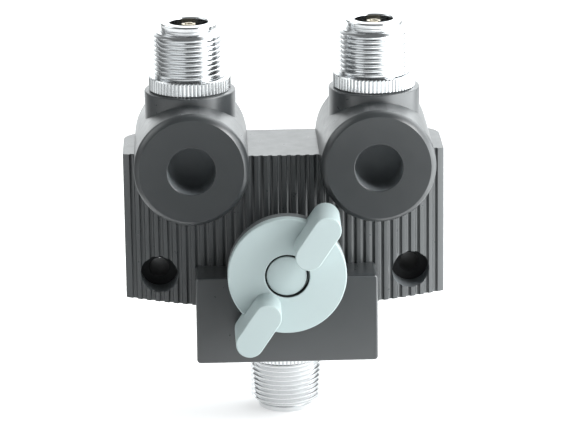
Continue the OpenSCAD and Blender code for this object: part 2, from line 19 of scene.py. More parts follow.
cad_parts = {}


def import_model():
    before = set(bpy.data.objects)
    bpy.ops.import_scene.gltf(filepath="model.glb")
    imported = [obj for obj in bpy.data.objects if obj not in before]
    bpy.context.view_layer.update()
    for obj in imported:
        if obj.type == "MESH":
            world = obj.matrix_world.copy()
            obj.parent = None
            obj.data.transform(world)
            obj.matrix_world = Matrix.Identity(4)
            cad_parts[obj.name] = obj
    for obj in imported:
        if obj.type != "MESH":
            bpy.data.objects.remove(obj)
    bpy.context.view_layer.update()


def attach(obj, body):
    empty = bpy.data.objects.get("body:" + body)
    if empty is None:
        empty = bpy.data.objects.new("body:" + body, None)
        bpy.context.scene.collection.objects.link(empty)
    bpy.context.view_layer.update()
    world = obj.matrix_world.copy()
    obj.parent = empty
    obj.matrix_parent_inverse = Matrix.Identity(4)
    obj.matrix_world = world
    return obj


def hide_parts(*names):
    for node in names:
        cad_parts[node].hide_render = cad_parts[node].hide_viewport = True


Spot = tuple[float, float]
Point = tuple[float, float, float]
Outline = list[Spot]
Piece = bpy.types.Object
Socket = bpy.types.NodeSocket
log = logging.getLogger("antenna_switch")

MM = 0.001

# Sizes that several pieces share
OUTLET_SPACING = 40.4
BARREL_Z = 26.6
NECK_TOP = 40.6
LINE_DEPTH = 13.8
INLET_END = 18.0
KNOB_Z = 4.0
BLOCK_WIDTH, BLOCK_TOP, BLOCK_BOTTOM, BLOCK_DEPTH = 39.7, 2.2, 17.3, 31.15
COVER_THICKNESS = 2.0
FLOOR = -33.05


class Cut(Enum):
    """How a tool body changes the body it is applied to."""

    JOIN = "UNION"
    REMOVE = "DIFFERENCE"
    KEEP_COMMON = "INTERSECT"


class Body(Enum):
    """The two bodies of the mechanism."""

    FIXED = "switch_body"
    TURNING = "knob_assembly"


class Side(Enum):
    """The three connectors: (sign along X, True where the connector points down)."""

    LEFT = (-1, False)
    RIGHT = (1, False)
    INLET = (0, True)

    @property
    def sign(self) -> int:
        """Returns -1 for left, 1 for right and 0 for the inlet."""
        return self.value[0]

    @property
    def points_down(self) -> bool:
        """Returns True for the connector under the body."""
        return self.value[1]

    @property
    def word(self) -> str:
        """Returns the side's name as the node names use it."""
        return self.name.lower()


# Modelling tools


def clear_selection() -> None:
    """Leaves edit mode and deselects every object."""
    if bpy.context.mode != "OBJECT":
        bpy.ops.object.mode_set(mode="OBJECT")
    bpy.ops.object.select_all(action="DESELECT")


def hold(piece: Piece) -> None:
    """Makes a piece the only selected object and the active one.

    Args:
        piece: The object to work on.
    """
    clear_selection()
    piece.select_set(True)
    bpy.context.view_layer.objects.active = piece


@contextmanager
def editing(piece: Piece, mode: str = "VERT") -> Iterator[bmesh.types.BMesh]:
    """Opens a piece in edit mode with nothing selected.

    Args:
        piece: The object to edit.
        mode: The select mode: VERT, EDGE or FACE.

    Yields:
        The edit mesh, for picking faces and edges by their place.
    """
    hold(piece)
    bpy.ops.object.mode_set(mode="EDIT")
    bpy.ops.mesh.select_mode(type=mode)
    bpy.ops.mesh.select_all(action="DESELECT")
    yield bmesh.from_edit_mesh(piece.data)
    bpy.ops.object.mode_set(mode="OBJECT")


def pick(
    piece: Piece,
    mesh: bmesh.types.BMesh,
    wanted: Callable[..., bool],
    kind: str = "edges",
) -> int:
    """Selects the edges, faces or vertices that pass a test.

    Args:
        piece: The object in edit mode.
        mesh: Its edit mesh.
        wanted: Returns True for an element that should be selected.
        kind: Which elements are tested: verts, edges or faces.

    Returns:
        How many elements were selected.
    """
    count = 0
    for element in getattr(mesh, kind):
        chosen = wanted(element)
        element.select_set(chosen)
        count += chosen
    mesh.select_flush_mode()
    bmesh.update_edit_mesh(piece.data)
    return count


def choose_all() -> None:
    """Selects the whole mesh in edit mode."""
    bpy.ops.mesh.select_all(action="SELECT")


def merge(distance: float) -> None:
    """Merges the vertices of the mesh in edit mode that lie closer than a distance in metres."""
    choose_all()
    bpy.ops.mesh.remove_doubles(threshold=distance)


def face_outwards() -> None:
    """Turns every face of the mesh in edit mode outwards."""
    choose_all()
    bpy.ops.mesh.normals_make_consistent(inside=False)


def settle(piece: Piece, turn: Point = (0, 0, 0), move: Point = (0, 0, 0)) -> None:
    """Turns and moves a piece and bakes its place into its mesh.

    Args:
        piece: The object to place.
        turn: Angles about X, Y and Z in degrees.
        move: The shift that follows the turn.
    """
    hold(piece)
    if any(turn):
        piece.rotation_euler = [radians(a) for a in turn]
    if any(move):
        piece.location = [c * MM for c in move]
    bpy.ops.object.transform_apply(location=True, rotation=True, scale=True)


def primitive(name: str, operator: Callable[..., object], **given: object) -> Piece:
    """Adds one of Blender's primitives and bakes its place into its mesh.

    Args:
        name: The new object's name.
        operator: The operator that adds it.
        given: What the operator is given, in metres.

    Returns:
        The new object.
    """
    clear_selection()
    operator(**given)
    piece = bpy.context.active_object
    piece.name = name
    settle(piece)
    return piece


def modify(piece: Piece, kind: str, **settings: object) -> None:
    """Gives a piece a modifier and applies it at once.

    Args:
        piece: The piece to change.
        kind: The modifier's type.
        settings: The modifier's settings.
    """
    hold(piece)
    modifier = piece.modifiers.new(kind.lower(), kind)
    for key, value in settings.items():
        setattr(modifier, key, value)
    bpy.ops.object.modifier_apply(modifier=modifier.name)


def draw(name: str, points: Sequence[Point], closed: bool = False) -> Piece:
    """Draws a chain of edges by extruding one vertex from point to point.

    Args:
        name: The new object's name.
        points: The places the chain passes.
        closed: True to join the last point to the first.

    Returns:
        The wire object.
    """
    piece = primitive(
        name, bpy.ops.mesh.primitive_plane_add, size=MM, location=[c * MM for c in points[0]]
    )
    stops = list(points) + ([points[0]] if closed else [])
    with editing(piece):
        choose_all()
        bpy.ops.mesh.merge(type="CENTER")
    with editing(piece) as mesh:
        pick(piece, mesh, lambda vertex: True, "verts")
        for here, there in zip(stops, stops[1:]):
            step = [(b - a) * MM for a, b in zip(here, there)]
            bpy.ops.mesh.extrude_vertices_move(TRANSFORM_OT_translate={"value": step})
        if closed:
            merge(1e-7)
    return piece


def prism(name: str, outline: Sequence[Point], reach: Point) -> Piece:
    """Fills a closed outline and extrudes it.

    Args:
        name: The new object's name.
        outline: The corners in order.
        reach: The vector of the extrusion.

    Returns:
        The closed solid.
    """
    piece = draw(name, outline, closed=True)
    with editing(piece):
        choose_all()
        bpy.ops.mesh.edge_face_add()
        bpy.ops.mesh.extrude_region_move(
            TRANSFORM_OT_translate={"value": [c * MM for c in reach]}
        )
        face_outwards()
    return piece


def slab(name: str, outline: Outline, start: float, end: float) -> Piece:
    """Extrudes an outline drawn in x and z between two depths.

    Args:
        name: The new object's name.
        outline: Corners as (x, z).
        start: The depth where the slab begins.
        end: The depth where it ends.

    Returns:
        The closed solid.
    """
    return prism(name, [(x, -start, z) for x, z in outline], (0, start - end, 0))


def turned(name: str, profile: Outline, steps: int = 96, closed: bool = False) -> Piece:
    """Spins a profile about the Z axis.

    Args:
        name: The new object's name.
        profile: Points as (radius, height).
        steps: How many steps a full turn has.
        closed: True for a ring whose profile comes back to its start.

    Returns:
        The turned solid, with its poles closed.
    """
    piece = draw(name, [(r, 0, h) for r, h in profile], closed)
    with editing(piece):
        choose_all()
        bpy.ops.mesh.spin(steps=steps, angle=2 * pi, center=(0, 0, 0), axis=(0, 0, 1))
        merge(2e-6)
        face_outwards()
    return piece


def along_depth(profile: Outline, x: float, z: float, steps: int = 64) -> Piece:
    """Spins a profile about a level axis that points away from the viewer.

    Args:
        profile: Points as (radius, depth).
        x: The axis's place to the right.
        z: The axis's height.
        steps: How many steps a full turn has.

    Returns:
        The turned solid.
    """
    piece = turned("level", profile, steps)
    settle(piece, (90, 0, 0), (x, 0, z))
    return piece


def upright(profile: Outline, x: float, z: float, steps: int = 128) -> Piece:
    """Spins a profile about an upright axis in the connectors' plane.

    Args:
        profile: Points as (radius, height).
        x: The axis's place to the right.
        z: The height of the profile's zero.
        steps: How many steps a full turn has.

    Returns:
        The turned solid.
    """
    piece = turned("upright", profile, steps)
    settle(piece, move=(x, -LINE_DEPTH, z))
    return piece


def combine(target: Piece, tool: Piece, cut: Cut) -> None:
    """Applies a tool body to a target as a boolean and removes the tool.

    Args:
        target: The piece that stays.
        tool: The body that is used up.
        cut: Whether it is joined, removed or kept in common.
    """
    modify(target, "BOOLEAN", operation=cut.value, solver="MANIFOLD", object=tool)
    bpy.data.objects.remove(tool, do_unlink=True)


def bevel(
    piece: Piece,
    wanted: Callable[[bmesh.types.BMEdge], bool],
    width: float,
    segments: int = 2,
) -> None:
    """Bevels the edges that pass a test.

    Args:
        piece: The piece to change.
        wanted: Returns True for an edge to bevel.
        width: The bevel's width.
        segments: How many faces round the bevel.
    """
    with editing(piece, "EDGE") as mesh:
        if pick(piece, mesh, wanted):
            bpy.ops.mesh.bevel(
                offset=width * MM, segments=segments, affect="EDGES", clamp_overlap=True
            )


def clean(piece: Piece, flat: float = 0.0002) -> None:
    """Merges doubles, joins faces that lie in one plane and points all faces outwards.

    Args:
        piece: The piece to clean.
        flat: The largest angle, in radians, at which faces count as one plane.
    """
    with editing(piece):
        merge(1e-6)
        bpy.ops.mesh.dissolve_limited(angle_limit=flat)
        choose_all()
        bpy.ops.mesh.delete_loose()
        face_outwards()


def smooth(piece: Piece, angle: float = 35, weighted: bool = True) -> None:
    """Shades a piece smooth but for its sharp edges.

    Args:
        piece: The piece to shade.
        angle: Edges sharper than this many degrees stay sharp.
        weighted: True to let large faces stay flat beside small bevels.
    """
    hold(piece)
    bpy.ops.object.shade_smooth_by_angle(angle=radians(angle))
    if weighted:
        modify(piece, "WEIGHTED_NORMAL", keep_sharp=True)


def copy_of(piece: Piece, name: str) -> Piece:
    """Copies a piece with a mesh of its own.

    Args:
        piece: The object to copy.
        name: The copy's name.

    Returns:
        The copy.
    """
    twin = piece.copy()
    twin.data = piece.data.copy()
    twin.name = name
    twin.parent = None
    bpy.context.scene.collection.objects.link(twin)
    return twin


def arc(centre: Spot, radius: float, start: float, end: float, steps: int) -> Outline:
    """Points on an arc.

    Args:
        centre: The arc's centre.
        radius: Its radius.
        start: The first angle in degrees.
        end: The last angle in degrees.
        steps: How many steps lie between them.

    Returns:
        The points, both ends included.
    """
    angles = [radians(start + (end - start) * i / steps) for i in range(steps + 1)]
    return [(centre[0] + radius * cos(a), centre[1] + radius * sin(a)) for a in angles]


def stadium(a: Spot, b: Spot, width: float) -> Outline:
    """Outline of a strip with round ends between two points.

    Args:
        a: The centre of one end.
        b: The centre of the other end.
        width: The strip's width.

    Returns:
        The closed outline.
    """
    heading = degrees(atan2(b[1] - a[1], b[0] - a[0]))
    return arc(b, width / 2, heading - 90, heading + 90, 16) + arc(
        a, width / 2, heading + 90, heading + 270, 16
    )


def mouth(radius: float, face: float, lip: float, steps: int = 4) -> Outline:
    """Profile of a hole's rounded mouth, for a tool body that cuts the hole.

    Args:
        radius: The hole's radius.
        face: The height of the face the hole opens in.
        lip: The radius of the rounded lip.
        steps: How many steps the lip has.

    Returns:
        Points from the hole's wall to a place clear of the face.
    """
    curve = arc((radius + lip, face - lip), lip, 180, 104, steps)
    return curve + [(radius + 1.6 * lip, face + lip), (radius + 1.6 * lip, face + 1)]


# Finishes


class Relief(Enum):
    """The kind of fine relief a surface has."""

    CAST = "cast and painted"
    TURNED = "turned lines under the paint"
    PLATED = "polished and plated"
    MOULDED = "moulded plastic"
    DRAWN = "drawn or rolled metal"


class NodeTree:
    """Adds and links the shader nodes of a material or a world with little writing."""

    def __init__(self, owner: bpy.types.ID, shader: str = "Principled BSDF") -> None:
        """Takes up the nodes of a new material or world.

        Args:
            owner: The material or world.
            shader: The name of its shader node.
        """
        owner.use_nodes = True
        self.owner = owner
        self.nodes, self.links = owner.node_tree.nodes, owner.node_tree.links
        self.shader = self.nodes[shader]

    def add(self, kind: str, **values: object) -> bpy.types.Node:
        """Adds a node; a value that is an output socket is linked, any other is set.

        Args:
            kind: The node's type.
            values: Attributes or input sockets by name, with _ for a space.

        Returns:
            The new node.
        """
        node = self.nodes.new(kind)
        for key, value in values.items():
            if hasattr(node, key):
                setattr(node, key, value)
            else:
                self.feed(node, key.replace("_", " "), value)
        return node

    def feed(self, node: bpy.types.Node, socket: object, value: object) -> None:
        """Links an output to an input, or sets the input's value.

        Args:
            node: The node with the input.
            socket: The input's name or index.
            value: An output socket or a plain value.
        """
        target = node.inputs[socket]
        if isinstance(value, Socket):
            self.links.new(value, target)
        else:
            target.default_value = value

    def math(self, operation: str, a: object, b: object = 0.0) -> Socket:
        """Adds a math node.

        Args:
            operation: The node's operation.
            a: The first operand.
            b: The second operand.

        Returns:
            The result's socket.
        """
        node = self.add("ShaderNodeMath", operation=operation)
        self.feed(node, 0, a)
        self.feed(node, 1, b)
        return node.outputs[0]

    def noise(
        self, vector: object, scale: float, detail: float = 3.0, rough: float = 0.5
    ) -> Socket:
        """Adds three-dimensional noise.

        Args:
            vector: The coordinates.
            scale: The noise's scale, in cells per metre of the coordinates.
            detail: How many finer layers it has.
            rough: How strong those layers are.

        Returns:
            The noise's value.
        """
        node = self.add(
            "ShaderNodeTexNoise", Vector=vector, Scale=scale, Detail=detail, Roughness=rough
        )
        return node.outputs["Fac"]

    def spread(
        self, value: object, low: float, high: float, start: float = 0.3, end: float = 0.7,
        **settings: object,
    ) -> Socket:
        """Maps a value's range to another one.

        Args:
            value: The socket to map.
            low: The result at start.
            high: The result at end.
            start: The lowest value that matters.
            end: The highest value that matters.
            settings: The node's other settings.

        Returns:
            The mapped value.
        """
        node = self.add("ShaderNodeMapRange", **settings)
        for socket, given in zip(range(5), (value, start, end, low, high)):
            self.feed(node, socket, given)
        return node.outputs[0]

    def bumps(
        self, height: object, distance: float, strength: float = 1.0, normal: object = None
    ) -> Socket:
        """Adds a bump node.

        Args:
            height: The relief, from 0 to 1.
            distance: How deep the relief is, in metres.
            strength: How strongly it shows.
            normal: Another bump's normal to build on.

        Returns:
            The bent normal.
        """
        node = self.add("ShaderNodeBump", Height=height, Distance=distance, Strength=strength)
        if normal is not None:
            self.feed(node, "Normal", normal)
        return node.outputs[0]


# Scales of the noises, in cells per metre, and the depth of the broad waves in metres
CLOUD_SCALE, SMEAR_SCALE, WAVE_SCALE, BRUSH_SCALE, LATHE_SCALE = 90.0, 420.0, 700.0, 9000.0, 5200.0
BRUSH_STRETCH = (0.12, 0.12, 1.0)
WAVE_DEPTH = 2.5e-6


@dataclass(frozen=True)
class Finish:
    """One finish: its colours, gloss and the fine relief the real surface shows."""

    name: str
    slot: str
    dark: Point
    light: Point
    relief: Relief
    roughness: Spot = (0.4, 0.5)
    relief_depth: float = 4e-6
    specular: float = 0.5
    metallic: float = 0.0
    relief_scale: float = 3000.0
    centre: Spot = (0.0, 0.0)

    def material(self) -> bpy.types.Material:
        """Builds the finish's material once.

        Returns:
            The material.
        """
        made = bpy.data.materials.get(self.name)
        if made is not None:
            return made
        tree = NodeTree(bpy.data.materials.new(self.name))
        spot = tree.add("ShaderNodeTexCoord").outputs["Object"]
        cloud = tree.noise(spot, CLOUD_SCALE, 4.0)
        smear = tree.noise(spot, SMEAR_SCALE, 5.0, 0.6)
        colours = tree.add("ShaderNodeMix", data_type="RGBA")
        for socket, value in ((0, cloud), (6, (*self.dark, 1)), (7, (*self.light, 1))):
            tree.feed(colours, socket, value)
        for socket, value in {
            "Base Color": colours.outputs[2],
            "Roughness": tree.spread(smear, *self.roughness),
            "Metallic": self.metallic,
            "Specular IOR Level": self.specular,
            "Normal": self.normal(tree, spot),
        }.items():
            tree.feed(tree.shader, socket, value)
        return tree.owner

    def normal(self, tree: NodeTree, spot: Socket) -> Socket:
        """Builds the relief of the finish.

        Args:
            tree: The material's nodes.
            spot: The object coordinates.

        Returns:
            The bent normal.
        """
        base = tree.bumps(tree.noise(spot, self.relief_scale, 2.0, 0.55), self.relief_depth)
        if self.relief is Relief.TURNED:
            shift = (-self.centre[0], 0, -self.centre[1])
            moved = tree.add("ShaderNodeMapping", Vector=spot, Location=shift).outputs[0]
            x, y, z = tree.add("ShaderNodeSeparateXYZ", Vector=moved).outputs
            squares = [tree.math("MULTIPLY", across, across) for across in (x, z)]
            along = tree.math("SUBTRACT", tree.math("SQRT", tree.math("ADD", *squares)), y)
            lines = tree.add(
                "ShaderNodeTexNoise", noise_dimensions="1D", Scale=1.0, Detail=2.0,
                W=tree.math("MULTIPLY", along, LATHE_SCALE),
            )
            return tree.bumps(lines.outputs["Fac"], WAVE_DEPTH, 1.0, base)
        if self.relief in (Relief.PLATED, Relief.DRAWN):
            flat = tree.add("ShaderNodeMapping", Vector=spot, Scale=BRUSH_STRETCH).outputs[0]
            return tree.bumps(tree.noise(flat, BRUSH_SCALE, 2.0), self.relief_depth, 0.6, base)
        if self.relief is Relief.CAST:
            return tree.bumps(tree.noise(spot, WAVE_SCALE, 2.0), WAVE_DEPTH, 0.5, base)
        return base


PAINT = Finish(
    "dark_grey_paint", "housing_paint", (0.037, 0.041, 0.0435), (0.043, 0.0475, 0.05),
    Relief.CAST, (0.27, 0.34), 1.2e-6, 0.9,
)
# Painted shade: the barrels' fronts take a darker copy of the housing paint; their turned lines
# are real relief.
BARREL_FRONT_SHADE_FINISHES = [
    Finish(
        f"{side}_barrel_paint", "housing_paint", (0.028, 0.031, 0.033), (0.033, 0.0365, 0.0385),
        Relief.TURNED, (0.3, 0.36), 1e-6, 0.65,
        centre=(sign * OUTLET_SPACING / 2 * MM, BARREL_Z * MM),
    )
    for side, sign in (("left", -1), ("right", 1))
]
# Painted shade: a near-black colour on the mounting holes' walls behind their seats.
BORE_PAINTED_SHADE = Finish(
    "hole_wall_painted_shade", "housing_paint", (0.016, 0.017, 0.018), (0.024, 0.025, 0.026),
    Relief.CAST, (0.8, 0.9), 3e-6, 0.15,
)
# Painted light: a lighter colour on the outlets' recess walls and on the counterbores in front of
# the seats.
PAINTED_LIGHT_RECESS = Finish(
    "recess_painted_light", "housing_paint", (0.126, 0.136, 0.144), (0.15, 0.163, 0.17),
    Relief.CAST, (0.6, 0.7), 2e-6, 0.25,
)
NICKEL = Finish(
    "bright_nickel", "nickel_plate", (0.66, 0.67, 0.68), (0.74, 0.75, 0.755),
    Relief.PLATED, (0.1, 0.18), 4e-7, metallic=1.0,
)
FLUOROPLASTIC = Finish(
    "white_fluoroplastic", "white_insulator", (0.78, 0.77, 0.73), (0.84, 0.83, 0.8),
    Relief.MOULDED, (0.4, 0.52), 2e-6,
)
GOLD = Finish(
    "pale_gold_plate", "gold_plate", (0.46, 0.41, 0.32), (0.54, 0.49, 0.39),
    Relief.PLATED, (0.24, 0.34), 1e-6, metallic=1.0,
)
SILVER = Finish(
    "silver_plate", "silver_plate", (0.74, 0.73, 0.71), (0.82, 0.81, 0.8),
    Relief.DRAWN, (0.22, 0.34), 1.5e-6, metallic=1.0,
)
BRASS = Finish(
    "plain_brass", "brass", (0.64, 0.46, 0.2), (0.72, 0.54, 0.26),
    Relief.DRAWN, (0.26, 0.38), 2e-6, metallic=1.0,
)
STEEL = Finish(
    "plain_steel", "steel", (0.46, 0.47, 0.48), (0.55, 0.56, 0.57),
    Relief.DRAWN, (0.24, 0.36), 1.5e-6, metallic=1.0,
)
KNOB_PLASTIC = Finish(
    "grey_green_plastic", "knob_plastic", (0.404, 0.48, 0.482), (0.426, 0.506, 0.508),
    Relief.MOULDED, (0.44, 0.56), 4e-6, 0.35, relief_scale=3600.0,
)
# Painted shade: a near-black colour on the walls of the ring round the knob's cap.
RING_PAINTED_SHADE = Finish(
    "cap_ring_painted_shade", "knob_plastic", (0.03, 0.034, 0.035), (0.05, 0.055, 0.056),
    Relief.MOULDED, (0.8, 0.9), 2e-6, 0.2,
)
# Painted shade: a darker colour on the rear half of the knob disc's rim.
RIM_SHADE = Finish(
    "rim_painted_shade", "knob_plastic", (0.12, 0.128, 0.13), (0.15, 0.16, 0.162),
    Relief.MOULDED, (0.5, 0.6), 3e-6, 0.3, relief_scale=3600.0,
)


def dress(piece: Piece, *finishes: Finish) -> None:
    """Gives a piece its finishes as material slots.

    Args:
        piece: The piece to dress.
        finishes: The finishes, the first for every face that names no other.
    """
    piece.data.materials.clear()
    for finish in finishes:
        piece.data.materials.append(finish.material())


def hand_over(piece: Piece, body: Body, finish: Finish, *nodes: str) -> None:
    """Puts a finished piece in the place of its CAD nodes.

    Args:
        piece: The finished piece.
        body: The body it rides on.
        finish: Its main finish.
        nodes: The CAD nodes it stands for.
    """
    if not any(piece.data.materials):
        dress(piece, finish)
    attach(piece, body.value)
    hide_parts(*nodes)
    log.info("%s: %d faces", piece.name, len(piece.data.polygons))


def soften(node: str, name: str, body: Body, finish: Finish, width: float) -> None:
    """Copies a CAD node, takes the edge off its sharp edges and puts the copy in its place.

    Args:
        node: The CAD node to copy.
        name: The new piece's name.
        body: The body it rides on.
        finish: Its finish.
        width: The width of the edge bevels.
    """
    piece = copy_of(bpy.data.objects[node], name)
    piece.data.materials.clear()
    for key in [key for key in piece.keys() if key.startswith("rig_")]:
        del piece[key]
    hold(piece)
    clean(piece, radians(0.4))
    sharp = radians(40)
    bevel(
        piece, lambda edge: len(edge.link_faces) == 2 and edge.calc_face_angle(0) > sharp, width
    )
    smooth(piece)
    hand_over(piece, body, finish, node)


# The housing


@dataclass
class HousingCasting:
    """The painted casting: ribbed body, two barrels with necks, block and boss."""

    width: float = 70.4
    top: float = 27.3
    bottom: float = 7.5
    depth: float = 22.7
    side_depth: float = 18.8
    underside_rise: float = 2.0
    back_corner: float = 6.0
    front_corner: float = 0.35
    rib_pitch: float = 2.03
    groove_width: float = 1.0
    groove_depth: float = 0.52
    rib_lip: float = 0.16
    barrel_d: float = 25.0
    barrel_length: float = 32.0
    shoulder: Spot = (1.1, 1.7)
    crown: float = 0.1
    recess_d: float = 10.4
    recess_depth: float = 10.2
    recess_fillet: float = 3.4
    neck_d: float = 20.0
    boss_d: float = 18.0
    mount_spacing: float = 55.6
    mount_seat: float = 14.5
    mount_hole_r: float = 2.15
    counterbore_r: float = 4.15
    # Radius and lower end of each step of a connector's bore, with 0.02 of play
    bore_steps: tuple[Spot, ...] = ((4.02, -8.1), (5.52, -6.6), (7.52, -0.15))
    chamber_depth: float = 19.2
    chamber_r: float = 10.5
    channel_w: float = 8.0
    pocket_r: float = 4.4
    cover_ear_r: float = 11.0
    # Half width, bottom and top of the cover's crossbar and of its column
    cover_bar: Point = (24.3, BARREL_Z - 18.7, BARREL_Z - 2.1)
    cover_column: Point = (17.25, -14.7, 12)

    @property
    def front_radius(self) -> float:
        """Returns the radius of the ribbed face."""
        rise = self.depth - self.side_depth
        return ((self.width / 2) ** 2 + rise**2) / (2 * rise)

    def groove(self, angle: float) -> Outline:
        """Outline of one groove between two ribs, seen from above.

        Args:
            angle: The groove's place on the face, in radians from the middle.

        Returns:
            Points as (x, y), from left to right.
        """
        half, lip, deep = self.groove_width / 2, self.rib_lip, self.groove_depth
        left = [
            (-half - lip + lip * sin(radians(a)), lip * (1 - cos(radians(a)))) for a in (0, 35, 65)
        ]
        floor = [
            (half * cos(radians(a)), lip + (deep - lip) * sin(radians(a)))
            for a in range(180, -1, -30)
        ]
        right = [(-across, down) for across, down in reversed(left)]
        radius, centre = self.front_radius, self.front_radius - self.depth
        return [
            (
                (radius - down) * sin(angle) + across * cos(angle),
                centre - (radius - down) * cos(angle) + across * sin(angle),
            )
            for across, down in left + floor + right
        ]

    def plan(self) -> Outline:
        """Outline of the ribbed body seen from above, as (x, y)."""
        half, corner = self.width / 2, self.back_corner
        step = self.rib_pitch / self.front_radius
        count = int(self.width / self.rib_pitch / 2 - 0.3)
        points = arc((half - corner, -corner), corner, 0, 90, 10)
        points += arc((corner - half, -corner), corner, 90, 180, 10)
        edge = self.front_corner
        start = edge - self.side_depth - 0.04
        points += arc((edge - half, start), edge, 180, 258, 4)
        for i in range(-count, count):
            points += self.groove((i + 0.5) * step)
        points += arc((half - edge, start), edge, 282, 360, 4)
        return points

    def ribbed_body(self) -> Piece:
        """Builds the ribbed body with its arched underside."""
        low = -self.bottom - 1
        body = prism("ribbed_body", [(x, y, low) for x, y in self.plan()], (0, 0, self.top - low))
        top = self.top * MM - 1e-6
        bevel(body, lambda edge: all(v.co.z > top for v in edge.verts), 0.1, 2)
        half = self.width / 2
        radius = (half**2 + self.underside_rise**2) / (2 * self.underside_rise)
        reach = degrees(asin((half + 2) / radius))
        arch = arc((0, radius - self.bottom), radius, 270 - reach, 270 + reach, 60)
        outline = arch + [(half + 2, low - 3), (-half - 2, low - 3)]
        combine(body, slab("arch_cutter", outline, -2, self.depth + 2), Cut.REMOVE)
        return body

    def barrel(self) -> Outline:
        """Profile of a barrel with its rounded shoulder, as (radius, depth)."""
        radius, length = self.barrel_d / 2, self.barrel_length
        narrow, long = self.shoulder
        slope = [
            (
                radius - narrow * t + self.crown * sin(pi * t),
                length - long + (long - 0.06) * t + self.crown * sin(pi * t),
            )
            for t in [i / 5 for i in range(6)]
        ]
        profile = [(0, 0), (radius - 0.25, 0), (radius, 0.25), (radius, length / 2)]
        return profile + slope + [(radius - narrow - 0.08, length), (0, length)]

    def neck(self) -> Outline:
        """Profile of an outlet's neck with a small chamfer at its top, as (radius, height)."""
        radius, rise = self.neck_d / 2, NECK_TOP - BARREL_Z
        profile = [(0, 0), (radius, 0), (radius, rise - 0.32), (radius - 0.08, rise - 0.12)]
        return profile + [(radius - 0.3, rise), (0, rise)]

    def inlet_neck(self) -> Outline:
        """Profile of the short neck under the block, as (radius, height)."""
        radius, low, high = self.neck_d / 2, -INLET_END, 1 - BLOCK_BOTTOM
        return [(0, low), (radius - 0.2, low), (radius, low + 0.2), (radius, high), (0, high)]

    def boss(self) -> Outline:
        """Profile of the round boss that carries the shaft, as (radius, depth)."""
        radius, start, end = self.boss_d / 2, self.chamber_depth - 1, BLOCK_DEPTH
        return [(0, start), (radius, start), (radius, end - 0.4), (radius - 0.4, end), (0, end)]

    def outlet_recess(self) -> Outline:
        """Profile of a barrel's blind recess with its rounded floor, as (radius, depth)."""
        radius, fillet, face = self.recess_d / 2, self.recess_fillet, self.barrel_length
        floor = face - self.recess_depth
        curve = arc((radius - fillet, floor + fillet), fillet, 270, 360, 14)
        return [(0, floor)] + curve + mouth(radius, face, 0.2) + [(0, face + 1)]

    def mounting_hole(self) -> Outline:
        """Profile of a mounting hole and its counterbore, whose seat shows turning marks."""
        seat_at = self.mount_seat
        hole, wide = self.mount_hole_r, self.counterbore_r
        profile = [(0, -1), (2.5, -1), (2.5, 0), (hole, 0.3), (hole, seat_at - 0.25)]
        profile.append((hole + 0.25, seat_at))
        for ring in range(4):
            inner = 2.5 + ring * 0.4
            profile += [(inner, seat_at), (inner + 0.2, seat_at - 0.05), (inner + 0.4, seat_at)]
        return profile + [(wide, seat_at + 0.02), (wide, BLOCK_DEPTH), (0, BLOCK_DEPTH)]

    def inlet_block(self) -> Piece:
        """Builds the block at the bottom with rounded edges."""
        block = primitive(
            "block", bpy.ops.mesh.primitive_cube_add, size=MM,
            location=(0, -BLOCK_DEPTH / 2 * MM, (BLOCK_TOP - BLOCK_BOTTOM) / 2 * MM),
            scale=(BLOCK_WIDTH, BLOCK_DEPTH, BLOCK_TOP + BLOCK_BOTTOM),
        )
        bevel(block, lambda edge: abs(edge.verts[0].co.y - edge.verts[1].co.y) > 1e-3, 0.8, 5)
        front = -BLOCK_DEPTH * MM + 1e-6
        bevel(block, lambda edge: all(v.co.y < front for v in edge.verts), 0.45, 4)
        return block

    def connector_bore(self, side: Side) -> Piece:
        """Tool body of the stepped bore that takes one connector.

        Args:
            side: Which connector it is for.

        Returns:
            The tool body.
        """
        reach = INLET_END - 4 if side.points_down else NECK_TOP - BARREL_Z
        profile, low = [(0, -reach)], -reach
        for radius, high in self.bore_steps:
            profile += [(radius, low), (radius, high)]
            low = high
        profile += [(7.8, 1), (0, 1)]
        tool = turned("connector_bore", profile, 96)
        seat(tool, side)
        return tool

    def chamber_tools(self) -> list[Piece]:
        """Tool bodies of the chamber, its three channels and the cover's seat."""
        start, end = COVER_THICKNESS - 0.01, self.chamber_depth
        middle = (0.0, KNOB_Z)
        tools = [slab("chamber_cutter", arc(middle, self.chamber_r, 0, 356.25, 95), start, end)]
        for side in (-1, 1):
            corner = (side * OUTLET_SPACING / 2, BARREL_Z)
            channel = stadium(middle, corner, self.channel_w)
            pocket = arc(corner, self.pocket_r, 0, 354, 59)
            ear = arc(corner, self.cover_ear_r, 0, 356.25, 95)
            tools.append(slab("channel_cutter", channel, start, end))
            tools.append(slab("pocket_cutter", pocket, start, end))
            tools.append(slab("ear_cutter", ear, -1, COVER_THICKNESS))
        inlet_channel = (self.channel_w / 2, -(INLET_END - 12.6 + 4 - 0.7), KNOB_Z)
        for (half, low, high), near, far in (
            (inlet_channel, start, end),
            (self.cover_bar, -1, COVER_THICKNESS),
            (self.cover_column, -1, COVER_THICKNESS),
        ):
            outline = [(-half, low), (half, low), (half, high), (-half, high)]
            tools.append(slab("window_cutter", outline, near, far))
        return tools

    def small_holes(self) -> list[Piece]:
        """Tool bodies of the holes for the bush, the ball, the stop pin and the cover's screws."""
        front, inner = BLOCK_DEPTH, self.chamber_depth - 0.01
        bush = [(0, inner), (4.32, inner), (4.32, front - 0.8), (5.12, front - 0.8)]
        bush += [(5.12, front + 1), (0, front + 1)]
        tools = [along_depth(bush, 0, KNOB_Z)]
        ball_hole = (1.52, front - 6.6, front + 1, 0, KNOB_Z - 9.3)
        pin_hole = (1.02, front - 5.0, front + 1, 0, KNOB_Z + 6.7)
        holes = [ball_hole, pin_hole]
        holes += [(1.27, 1.9, 6.3, x, z) for x, z in RearCover().screw_places()]
        for radius, start, end, x, z in holes:
            profile = [(0, start), (radius, start), (radius, end), (0, end)]
            tools.append(along_depth(profile, x, z, 32))
        return tools

